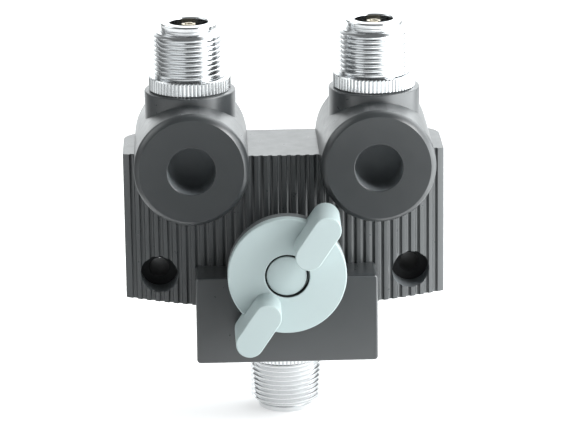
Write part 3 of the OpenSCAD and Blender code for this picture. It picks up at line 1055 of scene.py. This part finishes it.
    def build(self) -> None:
        """Builds and dresses the whole casting."""
        casting = self.ribbed_body()
        casting.name = "cast_housing"
        added = [self.inlet_block(), along_depth(self.boss(), 0, KNOB_Z, 96)]
        added.append(upright(self.inlet_neck(), 0, 0))
        tools = self.chamber_tools() + [self.connector_bore(side) for side in Side]
        for side in (-1, 1):
            x, mount_x = side * OUTLET_SPACING / 2, side * self.mount_spacing / 2
            added.append(along_depth(self.barrel(), x, BARREL_Z, 160))
            added.append(upright(self.neck(), x, BARREL_Z))
            tools.append(along_depth(self.outlet_recess(), x, BARREL_Z, 96))
            tools.append(along_depth(self.mounting_hole(), mount_x, 0, 72))
        for part in added:
            combine(casting, part, Cut.JOIN)
        for tool in tools + self.small_holes():
            combine(casting, tool, Cut.REMOVE)
        clean(casting)
        smooth(casting, 32)
        self.paint(casting)
        hand_over(casting, Body.FIXED, PAINT, "housing")

    def paint(self, casting: Piece) -> None:
        """Dresses the casting: turned lines and painted shade (a darker copy of the paint) on the
        barrels' fronts, painted shade in the mounting holes behind their seats, painted light (a
        lighter colour) in the recesses and the counterbores.

        Args:
            casting: The casting to dress.
        """
        dress(casting, PAINT, *BARREL_FRONT_SHADE_FINISHES, BORE_PAINTED_SHADE, PAINTED_LIGHT_RECESS)
        # Slot 3 holds painted shade for the holes, slot 4 painted light for the recesses and
        # counterbores.
        bore_shade_slot, recess_light_slot = 3, 4
        turned_from = self.barrel_length - self.shoulder[1] - 4
        for face in casting.data.polygons:
            x, depth, z = face.center.x / MM, -face.center.y / MM, face.center.z / MM
            # Painted shade on the barrels' turned fronts, painted light in their recesses.
            for slot, side in ((1, -1), (2, 1)):
                off = hypot(x - side * OUTLET_SPACING / 2, z - BARREL_Z)
                if depth > turned_from and off < self.barrel_d / 2 + 0.1:
                    face.material_index = slot
                # Painted light on the recess walls.
                if 21 < depth < self.barrel_length - 0.4 and off < self.recess_d / 2 + 0.05:
                    face.material_index = recess_light_slot
            # Painted shade on the holes' walls behind the seats, painted light on the counterbores
            # in front of them.
            if hypot(abs(x) - self.mount_spacing / 2, z) < self.counterbore_r + 0.05:
                behind_seat = depth < self.mount_seat + 0.5
                face.material_index = bore_shade_slot if behind_seat else recess_light_slot

@dataclass
class RearCover:
    """The plate that closes the chamber, and its six countersunk screws."""

    screw_d: float = 2.5
    head_d: float = 4.6
    screw_length: float = 6.0
    pitch: float = 0.45
    turns: int = 9
    ear_radius: float = 7.95

    def screw_places(self) -> Outline:
        """Places of the six screws as (x, z)."""
        places = []
        for side in (-1, 1):
            lean, ear, corner = radians(60), self.ear_radius, OUTLET_SPACING / 2
            places += [
                (side * (corner + ear * cos(lean)), BARREL_Z + ear * sin(lean)),
                (side * corner, BARREL_Z - 15.2),
                (side * (BLOCK_WIDTH / 2 - 6.4), 5.6 - BLOCK_BOTTOM),
            ]
        return places

    def screw(self) -> Piece:
        """Builds one countersunk screw at the origin, with its head's face at z = 0.

        Returns:
            The screw, pointing down.
        """
        head, shank = self.head_d / 2, self.screw_d / 2
        profile = [(0, -self.screw_length), (shank - 0.35, -self.screw_length)]
        for i in range(self.turns):
            low = -self.screw_length + 0.35 + i * self.pitch
            profile += [(shank - 0.2, low), (shank, low + self.pitch / 2)]
        profile += [(shank - 0.2, -1.45), (shank, -(head - shank)), (head - 0.06, -0.1)]
        profile += [(head - 0.06, -0.04), (head - 0.14, 0), (0, 0)]
        screw = turned("cover_screw", profile, 48)
        wide, half, foot = 0.6 * head, 0.24, 0.42
        outline = [(-wide, 0.3), (wide, 0.3), (foot * wide, -1.0), (-foot * wide, -1.0)]
        for turn in (20, 110):
            wing = prism("cross_cutter", [(x, -half, z) for x, z in outline], (0, 2 * half, 0))
            settle(wing, (0, 0, turn))
            combine(screw, wing, Cut.REMOVE)
        clean(screw)
        smooth(screw, 30)
        return screw

    def screws(self) -> None:
        """Copies the screw to its six places as one piece."""
        first = self.screw()
        copies = []
        for number, (x, z) in enumerate(self.screw_places()):
            twin = copy_of(first, f"cover_screw_{number + 1}")
            settle(twin, (-90, 0, 0), (x, 0, z))
            copies.append(twin)
        bpy.data.objects.remove(first, do_unlink=True)
        hold(copies[0])
        for twin in copies:
            twin.select_set(True)
        bpy.ops.object.join()
        copies[0].name = "rear_cover_screws"
        hand_over(copies[0], Body.FIXED, STEEL, "cover_screws")

    def build(self) -> None:
        """Builds the cover and its screws."""
        soften("rear_cover", "rear_cover_plate", Body.FIXED, PAINT, 0.18)
        self.screws()


# The connectors


def seat(piece: Piece, side: Side) -> None:
    """Moves an upright piece from the origin to its connector's seat.

    Args:
        piece: The piece to move.
        side: Which connector it belongs to.
    """
    if side.points_down:
        settle(piece, (180, 0, 0), (0, -LINE_DEPTH, -INLET_END))
    else:
        settle(piece, move=(side.sign * OUTLET_SPACING / 2, -LINE_DEPTH, NECK_TOP))


@dataclass
class Connectors:
    """The three threaded connectors, each modelled once upright at the origin."""
    thread_d: float = 15.8
    pitch: float = 1.0583
    turns: int = 9
    # The depth of the thread in pitches
    thread_depth: float = 0.58
    thread_start: float = 3.4
    nose_d: float = 12.5
    nose_h: float = 2.1
    bore_d: float = 8.4
    shank_d: float = 15.0
    shank_h: float = 6.6
    ring_d: float = 18.0
    ring_h: float = 3.1
    teeth: int = 64
    tooth_h: float = 0.35
    # How deep the rim lies at each of a tooth's six steps, valley first
    tooth_form: tuple[float, ...] = (1.0, 0.42, 0.08, 0.0, 0.08, 0.42)

    @property
    def thread_end(self) -> float:
        """Returns the height of the thread's last turn."""
        return self.thread_start + self.turns * self.pitch

    @property
    def height(self) -> float:
        """Returns the height of the rim above the seat."""
        return self.thread_end + self.nose_h

    def thread_core(self) -> Piece:
        """Builds a right-handed threaded rod a little longer than the thread."""
        p, crest = self.pitch, self.thread_d / 2
        root = crest - self.thread_depth * p
        profile = [(root, 0), (root, 0.1 * p), (crest - 0.05, 0.42 * p), (crest, 0.46 * p)]
        profile += [(crest, 0.54 * p), (crest - 0.05, 0.58 * p), (root, 0.9 * p), (root, p)]
        rod = draw("thread", [(r, 0, h) for r, h in profile])
        modify(
            rod, "SCREW", angle=2 * pi, screw_offset=p * MM, iterations=self.turns + 3,
            steps=96, render_steps=96,
        )
        settle(rod, move=(0, 0, self.thread_start - 1.6 * p))
        with editing(rod):
            merge(4e-6)
            ends = ((self.thread_start - 0.45 * p, False), (self.thread_end + 0.3, True))
            for height, top in ends:
                choose_all()
                bpy.ops.mesh.bisect(
                    plane_co=(0, 0, height * MM), plane_no=(0, 0, 1), use_fill=True,
                    clear_outer=top, clear_inner=not top, threshold=1e-7,
                )
            merge(1e-6)
            face_outwards()
        return rod

    def shell(self) -> Piece:
        """Builds the threaded shell: shank, thread, chamfered thread start, nose and bore."""
        crest, nose, end, top = self.thread_d / 2, self.nose_d / 2, self.thread_end, self.height
        shell = self.thread_core()
        shell.name = "threaded_shell"
        envelope = [(0, self.ring_h), (crest - 0.45, self.ring_h)]
        envelope += [(crest + 0.1, self.thread_start + 0.1), (crest + 0.1, end - 0.55)]
        envelope += [(crest - 0.75, end + 0.12), (0, end + 0.12)]
        rim = [(0, end - 1), (6.4, end - 1), (6.4, end + 0.1), (nose - 0.28, end + 0.45)]
        rim += [(nose - 0.28, end + 0.75), (nose, end + 1.0), (nose, top - 0.42)]
        rim += arc((nose - 0.42, top - 0.42), 0.42, 15, 90, 5) + [(0, top)]
        shank, low, plain = self.shank_d / 2, -self.shank_h, self.thread_start - 0.25
        foot = [(0, low), (shank - 0.3, low), (shank, low + 0.3), (shank, plain)]
        foot += [(crest - 0.6, plain + 0.2), (crest - 0.6, plain + 0.6), (0, plain + 0.6)]
        bore = [(0, low - 1), (self.bore_d / 2, low - 1)]
        bore += mouth(self.bore_d / 2, top, 0.34, 5) + [(0, top + 1)]
        for profile, cut in (
            (envelope, Cut.KEEP_COMMON), (rim, Cut.JOIN), (foot, Cut.JOIN), (bore, Cut.REMOVE),
        ):
            combine(shell, turned("tool", profile, 96), cut)
        clean(shell)
        smooth(shell, 38)
        return shell

    def lock_ring(self) -> Piece:
        """Builds the toothed lock ring with a chamfer at both faces."""
        outer, top = self.ring_d / 2, self.ring_h
        depths = self.tooth_form
        corners_round = self.teeth * len(depths)
        ring = primitive(
            "lock_ring", bpy.ops.mesh.primitive_cylinder_add, vertices=corners_round,
            radius=outer * MM, depth=top * MM, location=(0, 0, top / 2 * MM),
        )
        with editing(ring) as mesh:
            step = 2 * pi / corners_round
            for vertex in mesh.verts:
                index = round(atan2(vertex.co.y, vertex.co.x) / step) % len(depths)
                radius = (outer - self.tooth_h * depths[index]) * MM
                scale = radius / hypot(vertex.co.x, vertex.co.y)
                vertex.co.x *= scale
                vertex.co.y *= scale
            bmesh.update_edit_mesh(ring.data)
        cone = [(0, -0.1), (outer - 0.42, -0.1), (outer - 0.32, 0), (outer + 0.12, 0.4)]
        cone += [(outer + 0.12, top - 0.4), (outer - 0.32, top), (outer - 0.42, top + 0.1)]
        combine(ring, turned("chamfer", cone + [(0, top + 0.1)], 128), Cut.KEEP_COMMON)
        inner = self.shank_d / 2 + 0.02
        bore = [(0, -1), (inner, -1), (inner, top - 0.25), (inner + 0.43, top + 0.18)]
        bore += [(inner + 0.43, 5), (0, 5)]
        combine(ring, turned("ring_bore", bore, 96), Cut.REMOVE)
        clean(ring)
        smooth(ring, 38)
        return ring

    def build(self) -> None:
        """Builds the pieces of all three connectors."""
        turned_pieces = (
            ("connector_shell", "threaded_shell", self.shell()),
            ("lock_ring", "toothed_ring", self.lock_ring()),
        )
        for kind, name, master in turned_pieces:
            for side in Side:
                piece = copy_of(master, f"{side.word}_{name}")
                seat(piece, side)
                hand_over(piece, Body.FIXED, NICKEL, f"{side.word}_{kind}")
            bpy.data.objects.remove(master, do_unlink=True)
        inner_pieces = (
            ("insulator", "insulating_bush", FLUOROPLASTIC, 0.12),
            ("center_contact", "socket_contact", GOLD, 0.07),
        )
        for side in Side:
            for kind, name, finish, width in inner_pieces:
                word = side.word
                soften(f"{word}_{kind}", f"{word}_{name}", Body.FIXED, finish, width)


# Inside


@dataclass
class SwitchWorks:
    """The pieces inside the housing: lines, rotor, contact, shaft, bush and detent."""

    ball: Point = (0.0, -30.4, -5.3)
    ball_d: float = 3.0
    spring_start: float = 24.55
    spring_end: float = 29.37
    coil_radius: float = 1.175
    coil_turns: int = 8
    wire: float = 0.35
    softened: tuple[tuple[str, str, Body, Finish, float], ...] = (
        ("left_line", "left_flat_line", Body.FIXED, SILVER, 0.1),
        ("right_line", "right_flat_line", Body.FIXED, SILVER, 0.1),
        ("inlet_line", "inlet_flat_line", Body.FIXED, SILVER, 0.1),
        ("shaft_bush", "flanged_bush", Body.FIXED, BRASS, 0.12),
        ("stop_pin", "hardened_stop_pin", Body.FIXED, STEEL, 0.15),
        ("rotor_shaft", "turned_shaft", Body.TURNING, STEEL, 0.08),
        ("shaft_clip", "spring_steel_clip", Body.TURNING, STEEL, 0.08),
        ("rotor", "rotor_disc", Body.TURNING, FLUOROPLASTIC, 0.12),
        ("moving_contact", "contact_blade", Body.TURNING, SILVER, 0.1),
        ("contact_rivets", "blade_rivets", Body.TURNING, BRASS, 0.06),
    )

    def spring(self) -> None:
        """Builds the coil spring behind the detent ball."""
        length = self.spring_end - self.spring_start
        circle = arc((self.coil_radius, 0), self.wire / 2, 0, 324, 9)
        coil = draw("detent_coil", [(r, 0, h + self.wire / 2) for r, h in circle], closed=True)
        steps = 24 * self.coil_turns
        modify(
            coil, "SCREW", angle=2 * pi * self.coil_turns, screw_offset=(length - self.wire) * MM,
            iterations=1, steps=steps, render_steps=steps,
        )
        with editing(coil, "EDGE") as mesh:
            pick(coil, mesh, lambda edge: len(edge.link_faces) == 1)
            bpy.ops.mesh.fill()
            face_outwards()
        smooth(coil, 50, weighted=False)
        settle(coil, (90, 0, 0), (self.ball[0], -self.spring_start, self.ball[2]))
        hand_over(coil, Body.FIXED, STEEL, "detent_spring")

    def detent_ball(self) -> None:
        """Builds the steel ball as an evenly divided sphere."""
        ball = primitive(
            "bearing_ball", bpy.ops.mesh.primitive_ico_sphere_add, subdivisions=5,
            radius=self.ball_d / 2 * MM, location=[c * MM for c in self.ball],
        )
        smooth(ball, 60, weighted=False)
        hand_over(ball, Body.FIXED, STEEL, "detent_ball")

    def build(self) -> None:
        """Builds every inner piece."""
        for row in self.softened:
            soften(*row)
        self.spring()
        self.detent_ball()


# The knob


@dataclass
class WingedKnob:
    """The moulded knob, its cap and its screw."""

    back: float = 31.5
    disc_d: float = 25.8
    thickness: float = 5.0
    rim_round: float = 0.35
    wing_front: float = 13.5
    wing_back: float = 2.0
    wing_in: float = 8.1
    wing_out: float = 15.1
    wing_width: float = 6.0
    draft: float = 0.5
    throw: float = 34.0
    pocket_d: float = 9.7
    cap_seat: float = 2.7
    cap_recess: float = 0.6
    parting: float = 2.8
    cap_shift: Spot = (-0.12, -0.1)
    cap_gap: float = 0.45
    shaft_d: float = 6.04
    shaft_flat: float = 2.4
    bore_depth: float = 2.1
    # Track radius, half width, depth and the pin's angle
    detent_groove: tuple[float, ...] = (9.3, 1.8, 0.7, 270)
    stop_groove: tuple[float, ...] = (6.7, 1.15, 1.25, 90)

    def disc(self) -> Piece:
        """Builds the disc with its parting line, its rounded rim and the pocket in its middle."""
        radius, pocket, face = self.disc_d / 2, self.pocket_d / 2, self.thickness
        edge = self.rim_round
        profile = [(1.3, 0), (radius - edge, 0), (radius, edge)]
        profile += [(radius, self.parting - 0.08), (radius - 0.05, self.parting)]
        profile += [(radius, self.parting + 0.08)]
        profile += arc((radius - edge, face - edge), edge, 0, 90, 5)
        profile += arc((pocket + 0.2, face - 0.2), 0.2, 90, 180, 3)
        profile += [(pocket, self.cap_seat), (1.3, self.cap_seat)]
        return turned("disc", profile, 160, closed=True)

    def wing(self, turn: float) -> Piece:
        """Builds one drafted wing.

        Args:
            turn: 0 for the upper wing, 180 for the lower one.

        Returns:
            The wing in the knob's own place.
        """
        base, front = self.wing_back, self.wing_front
        outline = stadium((0, self.wing_in), (0, self.wing_out), self.wing_width)
        wing = prism("wing", [(x, y, front) for x, y in outline], (0, 0, base - front))
        grow = (front - base) * tan(radians(self.draft))
        low = (base + 0.001) * MM
        middle = (self.wing_in + self.wing_out) / 2
        with editing(wing) as mesh:
            pick(wing, mesh, lambda vertex: vertex.co.z < low, "verts")
            span = self.wing_out - self.wing_in + self.wing_width
            bpy.ops.transform.resize(
                value=(1 + 2 * grow / self.wing_width, 1 + 2 * grow / span, 1),
                center_override=(0, middle * MM, base * MM),
            )
        top = (front - 0.001) * MM
        bevel(wing, lambda edge: all(v.co.z > top for v in edge.verts), 0.28, 3)
        bevel(wing, lambda edge: all(v.co.z < low for v in edge.verts), 0.3, 2)
        settle(wing, (0, 0, turn - self.throw))
        return wing

    def shaft_bore(self) -> Piece:
        """Tool body of the D-shaped hole for the shaft."""
        radius = self.shaft_d / 2
        half = degrees(acos(self.shaft_flat / radius))
        outline = arc((0, 0), radius, 90 + half, 450 - half, 60)
        bore = prism("shaft_bore", [(x, y, -1) for x, y in outline], (0, 0, self.bore_depth + 1))
        settle(bore, (0, 0, -self.throw))
        return bore

    def groove(self, track: float, half: float, deep: float, pin: float) -> Piece:
        """Tool body of an arc groove in the knob's back.

        Args:
            track: The radius of the groove's middle line.
            half: Half its width.
            deep: Its depth.
            pin: The angle of the fixed pin, in degrees.

        Returns:
            The tool body.
        """
        end = degrees(asin(half / track))
        start, stop = pin - 2 * self.throw - end, pin + end
        outline = arc((0, 0), track + half, start, stop, 24)
        outline += arc((0, 0), track - half, stop, start, 24)
        return prism("groove", [(x, y, -1) for x, y in outline], (0, 0, deep + 1))

    def body(self) -> None:
        """Builds the moulded body and softens its inner corners as a mould does."""
        knob = self.disc()
        for turn in (0, 180):
            combine(knob, self.wing(turn), Cut.JOIN)
        grooves = [self.groove(*row) for row in (self.detent_groove, self.stop_groove)]
        for tool in [self.shaft_bore()] + grooves:
            combine(knob, tool, Cut.REMOVE)
        clean(knob)
        knob.name = "winged_knob"
        hold(knob)
        face, low, high = self.thickness * MM, self.disc_d / 2 - 0.5, self.pocket_d / 2 + 0.3
        bevel(
            knob,
            lambda edge: not edge.is_convex and all(
                abs(v.co.z - face) < 1e-6 and high * MM < v.co.xy.length < low * MM
                for v in edge.verts
            ),
            0.3, 3,
        )
        smooth(knob, 32)
        self.place(knob, "knob")

    def shade_pocket(self, piece: Piece) -> None:
        """Dresses a piece, with painted shade in the ring round the cap and on the rim's rear
        half.

        Args:
            piece: The knob or its cap, in its place.
        """
        dress(piece, KNOB_PLASTIC, RING_PAINTED_SHADE, RIM_SHADE)
        # Both slots hold painted shade: the ring round the cap and the rim's rear half.
        ring_shade_slot, rim_shade_slot = 1, 2
        wall, cap_face = self.pocket_d / 2, self.thickness - self.cap_recess
        for face in piece.data.polygons:
            off = hypot(face.center.x / MM, face.center.z / MM - KNOB_Z)
            depth = -face.center.y / MM - self.back
            deep = self.cap_seat - 0.05 < depth < cap_face - 0.35
            # Painted shade on the ring's walls round the cap.
            if deep and wall - 0.7 < off < wall + 0.05:
                face.material_index = ring_shade_slot
            # Painted shade on the rim's rear half.
            if depth < self.parting and abs(off - self.disc_d / 2) < 0.1:
                face.material_index = rim_shade_slot

    def place(self, piece: Piece, node: str) -> None:
        """Moves a moulded piece to the front of the housing, dresses it and hands it over.

        Args:
            piece: The piece to move, modelled with z pointing to the viewer.
            node: The CAD node it stands for.
        """
        settle(piece, (90, 0, 0), (0, -self.back, KNOB_Z))
        self.shade_pocket(piece)
        hand_over(piece, Body.TURNING, KNOB_PLASTIC, node)

    def cap(self) -> None:
        """Builds the slightly crowned cap in the disc's pocket."""
        flange = self.pocket_d / 2 - 0.02 - hypot(*self.cap_shift)
        face = self.pocket_d / 2 - self.cap_gap
        front = self.thickness - self.cap_recess
        step, roof = self.cap_seat + 0.3, front - 0.7
        profile = [(0, roof), (3.2, roof), (3.2, self.cap_seat), (flange, self.cap_seat)]
        profile += [(flange, step), (face, step), (face, front - 0.25)]
        profile += arc((face - 0.25, front - 0.25), 0.25, 15, 85, 4)
        profile += [(face * 0.6, front + 0.06), (face * 0.3, front + 0.1), (0, front + 0.11)]
        cap = turned("hub_cap", profile, 96)
        clean(cap)
        smooth(cap, 35)
        settle(cap, move=(*self.cap_shift, 0))
        self.place(cap, "knob_cap")

    def build(self) -> None:
        """Builds the knob and the two pieces in it."""
        self.body()
        self.cap()
        soften("knob_screw", "pan_head_screw", Body.TURNING, STEEL, 0.06)


# The studio


@dataclass(frozen=True)
class Glow:
    """A soft bright patch in the room, far from the table."""

    heading: float
    height: float
    inner: float
    outer: float
    strength: float

    @property
    def direction(self) -> Point:
        """Returns the way to its middle; heading 0 is towards the viewer, 90 to the right."""
        turn, lift = radians(self.heading), radians(self.height)
        return (sin(turn) * cos(lift), -cos(turn) * cos(lift), sin(lift))


@dataclass(frozen=True)
class Cards:
    """A ring of white and grey card round the table, seen only in reflections."""

    low: float
    high: float
    tones: tuple[tuple[float, float], ...]


@dataclass
class Studio:
    """Floor, lights and camera, placed as the photograph shows."""

    camera_place: Point = (-18.90, -703.55, 212.48)
    right: Point = (0.99939, -0.0327, -0.01236)
    up: Point = (0.02102, 0.27981, 0.95982)
    focal: float = 201.7
    floor_glow: float = 0.36
    room: float = 0.2
    glows: tuple[Glow, ...] = (
        Glow(150, 15, 20, 66, 2.2),
        Glow(-104, 33, 8, 30, 2.0),
        Glow(70, 16, 20, 34, 3.2),
        Glow(120, 12, 15, 40, 1.2),
        Glow(136, 40, 12, 36, 1.8),
    )
    tint: Point = (0.955, 0.99, 1.0)
    card_radius: float = 95.0
    card_peak: float = 6.0
    cards: tuple[Cards, ...] = (
        Cards(FLOOR, 7.0, (
            (-180, 1.3), (-140, 1.2), (-120, 0.8), (-108, 0.3), (-86, 0.32), (-74, 0.75),
            (-42, 0.75), (-28, 0.5), (-18, 0.22), (12, 0.22), (20, 0.6), (30, 1.7), (42, 3.6),
            (52, 4.4), (92, 4.2), (99, 1.8), (112, 1.5), (130, 1.5), (160, 1.6), (180, 1.3),
        )),
        Cards(7.0, 22.5, (
            (-180, 1.5), (-140, 1.7), (-122, 0.8), (-108, 0.3), (-90, 0.3), (-76, 0.6),
            (-60, 1.5), (-26, 1.8), (-21, 0.12), (21, 0.12), (27, 0.9), (36, 2.4), (48, 4.4),
            (94, 4.2), (100, 2.0), (112, 1.6), (130, 1.6), (160, 1.6), (180, 1.5),
        )),
        Cards(22.5, 40.0, (
            (-180, 1.5), (-145, 2.6), (-124, 0.5), (-108, 0.2), (-94, 0.24), (-82, 0.34),
            (-70, 0.7), (-42, 1.0), (-20, 1.0), (-8, 1.1), (2, 1.4), (10, 2.0), (26, 2.2),
            (36, 3.4), (46, 6.0), (96, 6.0), (102, 1.6), (110, 0.8), (134, 0.8), (156, 1.5),
            (180, 1.5),
        )),
    )

    def floor(self) -> None:
        """Builds the plain pale floor."""
        floor = primitive(
            "floor", bpy.ops.mesh.primitive_circle_add, vertices=96, radius=6.0,
            fill_type="NGON", location=(0, 0, FLOOR * MM),
        )
        tree = NodeTree(bpy.data.materials.new("pale_floor"))
        for socket, value in {
            "Base Color": (0.82, 0.82, 0.82, 1),
            "Roughness": 0.9,
            "Specular IOR Level": 0.1,
            "Emission Color": (1, 1, 1, 1),
            "Emission Strength": self.floor_glow,
        }.items():
            tree.feed(tree.shader, socket, value)
        floor.data.materials.append(tree.owner)

    def reflector(self, number: int, cards: Cards) -> None:
        """Puts up one ring of cards.

        Args:
            number: The ring's number, for its name.
            cards: Where it stands and how bright it is, with heading 0 towards the viewer.
        """
        ring = primitive(
            f"reflector_cards_{number}", bpy.ops.mesh.primitive_cylinder_add, vertices=96,
            radius=self.card_radius * MM, depth=(cards.high - cards.low) * MM,
            end_fill_type="NOTHING", location=(0, 0, (cards.low + cards.high) / 2 * MM),
        )
        tree = NodeTree(bpy.data.materials.new(f"card_brightness_{number}"))
        place = tree.add("ShaderNodeTexCoord").outputs["Object"]
        x, y, _ = tree.add("ShaderNodeSeparateXYZ", Vector=place).outputs
        heading = tree.math("ARCTAN2", x, tree.math("MULTIPLY", y, -1.0))
        ramp = tree.add("ShaderNodeValToRGB", Fac=tree.spread(heading, 0.0, 1.0, -pi, pi))
        stops = ramp.color_ramp.elements
        while len(stops) < len(cards.tones):
            stops.new(0.5)
        for stop, (angle, value) in zip(stops, cards.tones):
            stop.position = (angle + 180) / 360
            stop.color = [tint * value / self.card_peak for tint in self.tint] + [1]
        glow = tree.add("ShaderNodeEmission", Color=ramp.outputs[0], Strength=self.card_peak)
        tree.links.new(glow.outputs[0], tree.nodes["Material Output"].inputs[0])
        ring.data.materials.append(tree.owner)
        ring.visible_camera = ring.visible_diffuse = ring.visible_shadow = False

    def panel(
        self, name: str, place: Point, size: Spot, power: float, target: Point = (0, -15, 5)
    ) -> None:
        """Adds a soft rectangular light.

        Args:
            name: The light's name.
            place: Where it stands.
            size: Its width and height.
            power: Its power in watts.
            target: The point it faces.
        """
        data = bpy.data.lights.new(name, "AREA")
        data.shape = "RECTANGLE"
        data.size, data.size_y = size[0] * MM, size[1] * MM
        data.energy = power
        light = bpy.data.objects.new(name, data)
        light.location = [c * MM for c in place]
        aim = Vector([(b - a) for a, b in zip(place, target)])
        light.rotation_euler = aim.to_track_quat("-Z", "Y").to_euler()
        light.visible_camera = False
        bpy.context.scene.collection.objects.link(light)

    def world(self) -> None:
        """Lights the room: bright behind and to the right, dim overhead and in front."""
        world = bpy.context.scene.world = bpy.data.worlds.new("studio")
        tree = NodeTree(world, "Background")
        way = tree.add("ShaderNodeTexCoord").outputs["Generated"]
        total = self.room
        for glow in self.glows:
            near = tree.add("ShaderNodeVectorMath", operation="DOT_PRODUCT")
            tree.feed(near, 0, way)
            tree.feed(near, 1, glow.direction)
            outer, inner = cos(radians(glow.outer)), cos(radians(glow.inner))
            fade = tree.spread(
                near.outputs["Value"], 0.0, glow.strength, outer, inner,
                interpolation_type="SMOOTHSTEP",
            )
            total = tree.math("ADD", total, fade)
        tree.feed(tree.shader, "Strength", total)
        tree.feed(tree.shader, "Color", (*self.tint, 1))

    def camera(self) -> None:
        """Adds the camera at the photograph's viewing angle."""
        data = bpy.data.cameras.new("camera")
        data.sensor_fit = "HORIZONTAL"
        data.sensor_width = 36
        data.lens = self.focal
        data.clip_start, data.clip_end = 0.01, 100
        camera = bpy.data.objects.new("camera", data)
        bpy.context.scene.collection.objects.link(camera)
        right, up = Vector(self.right).normalized(), Vector(self.up).normalized()
        back = right.cross(up).normalized()
        axes = Matrix((right, back.cross(right), back)).transposed().to_4x4()
        camera.matrix_world = Matrix.Translation([c * MM for c in self.camera_place]) @ axes
        bpy.context.scene.camera = camera

    def build(self) -> None:
        """Sets up the whole studio."""
        bpy.context.scene.view_settings.view_transform = "Standard"
        self.camera()
        self.floor()
        for number, cards in enumerate(self.cards, 1):
            self.reflector(number, cards)
        self.world()
        self.panel("key_right", (285, -212, 120), (200, 250), 0.49)
        self.panel("table_right", (220, -120, 200), (120, 120), 0.48, (70, -60, -33))


def main() -> None:
    """Builds every sub-assembly, then the studio."""
    logging.basicConfig(level=logging.INFO, format="%(name)s: %(message)s")
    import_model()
    Studio().build()
    HousingCasting().build()
    RearCover().build()
    Connectors().build()
    SwitchWorks().build()
    WingedKnob().build()


if __name__ == "__main__":
    main()
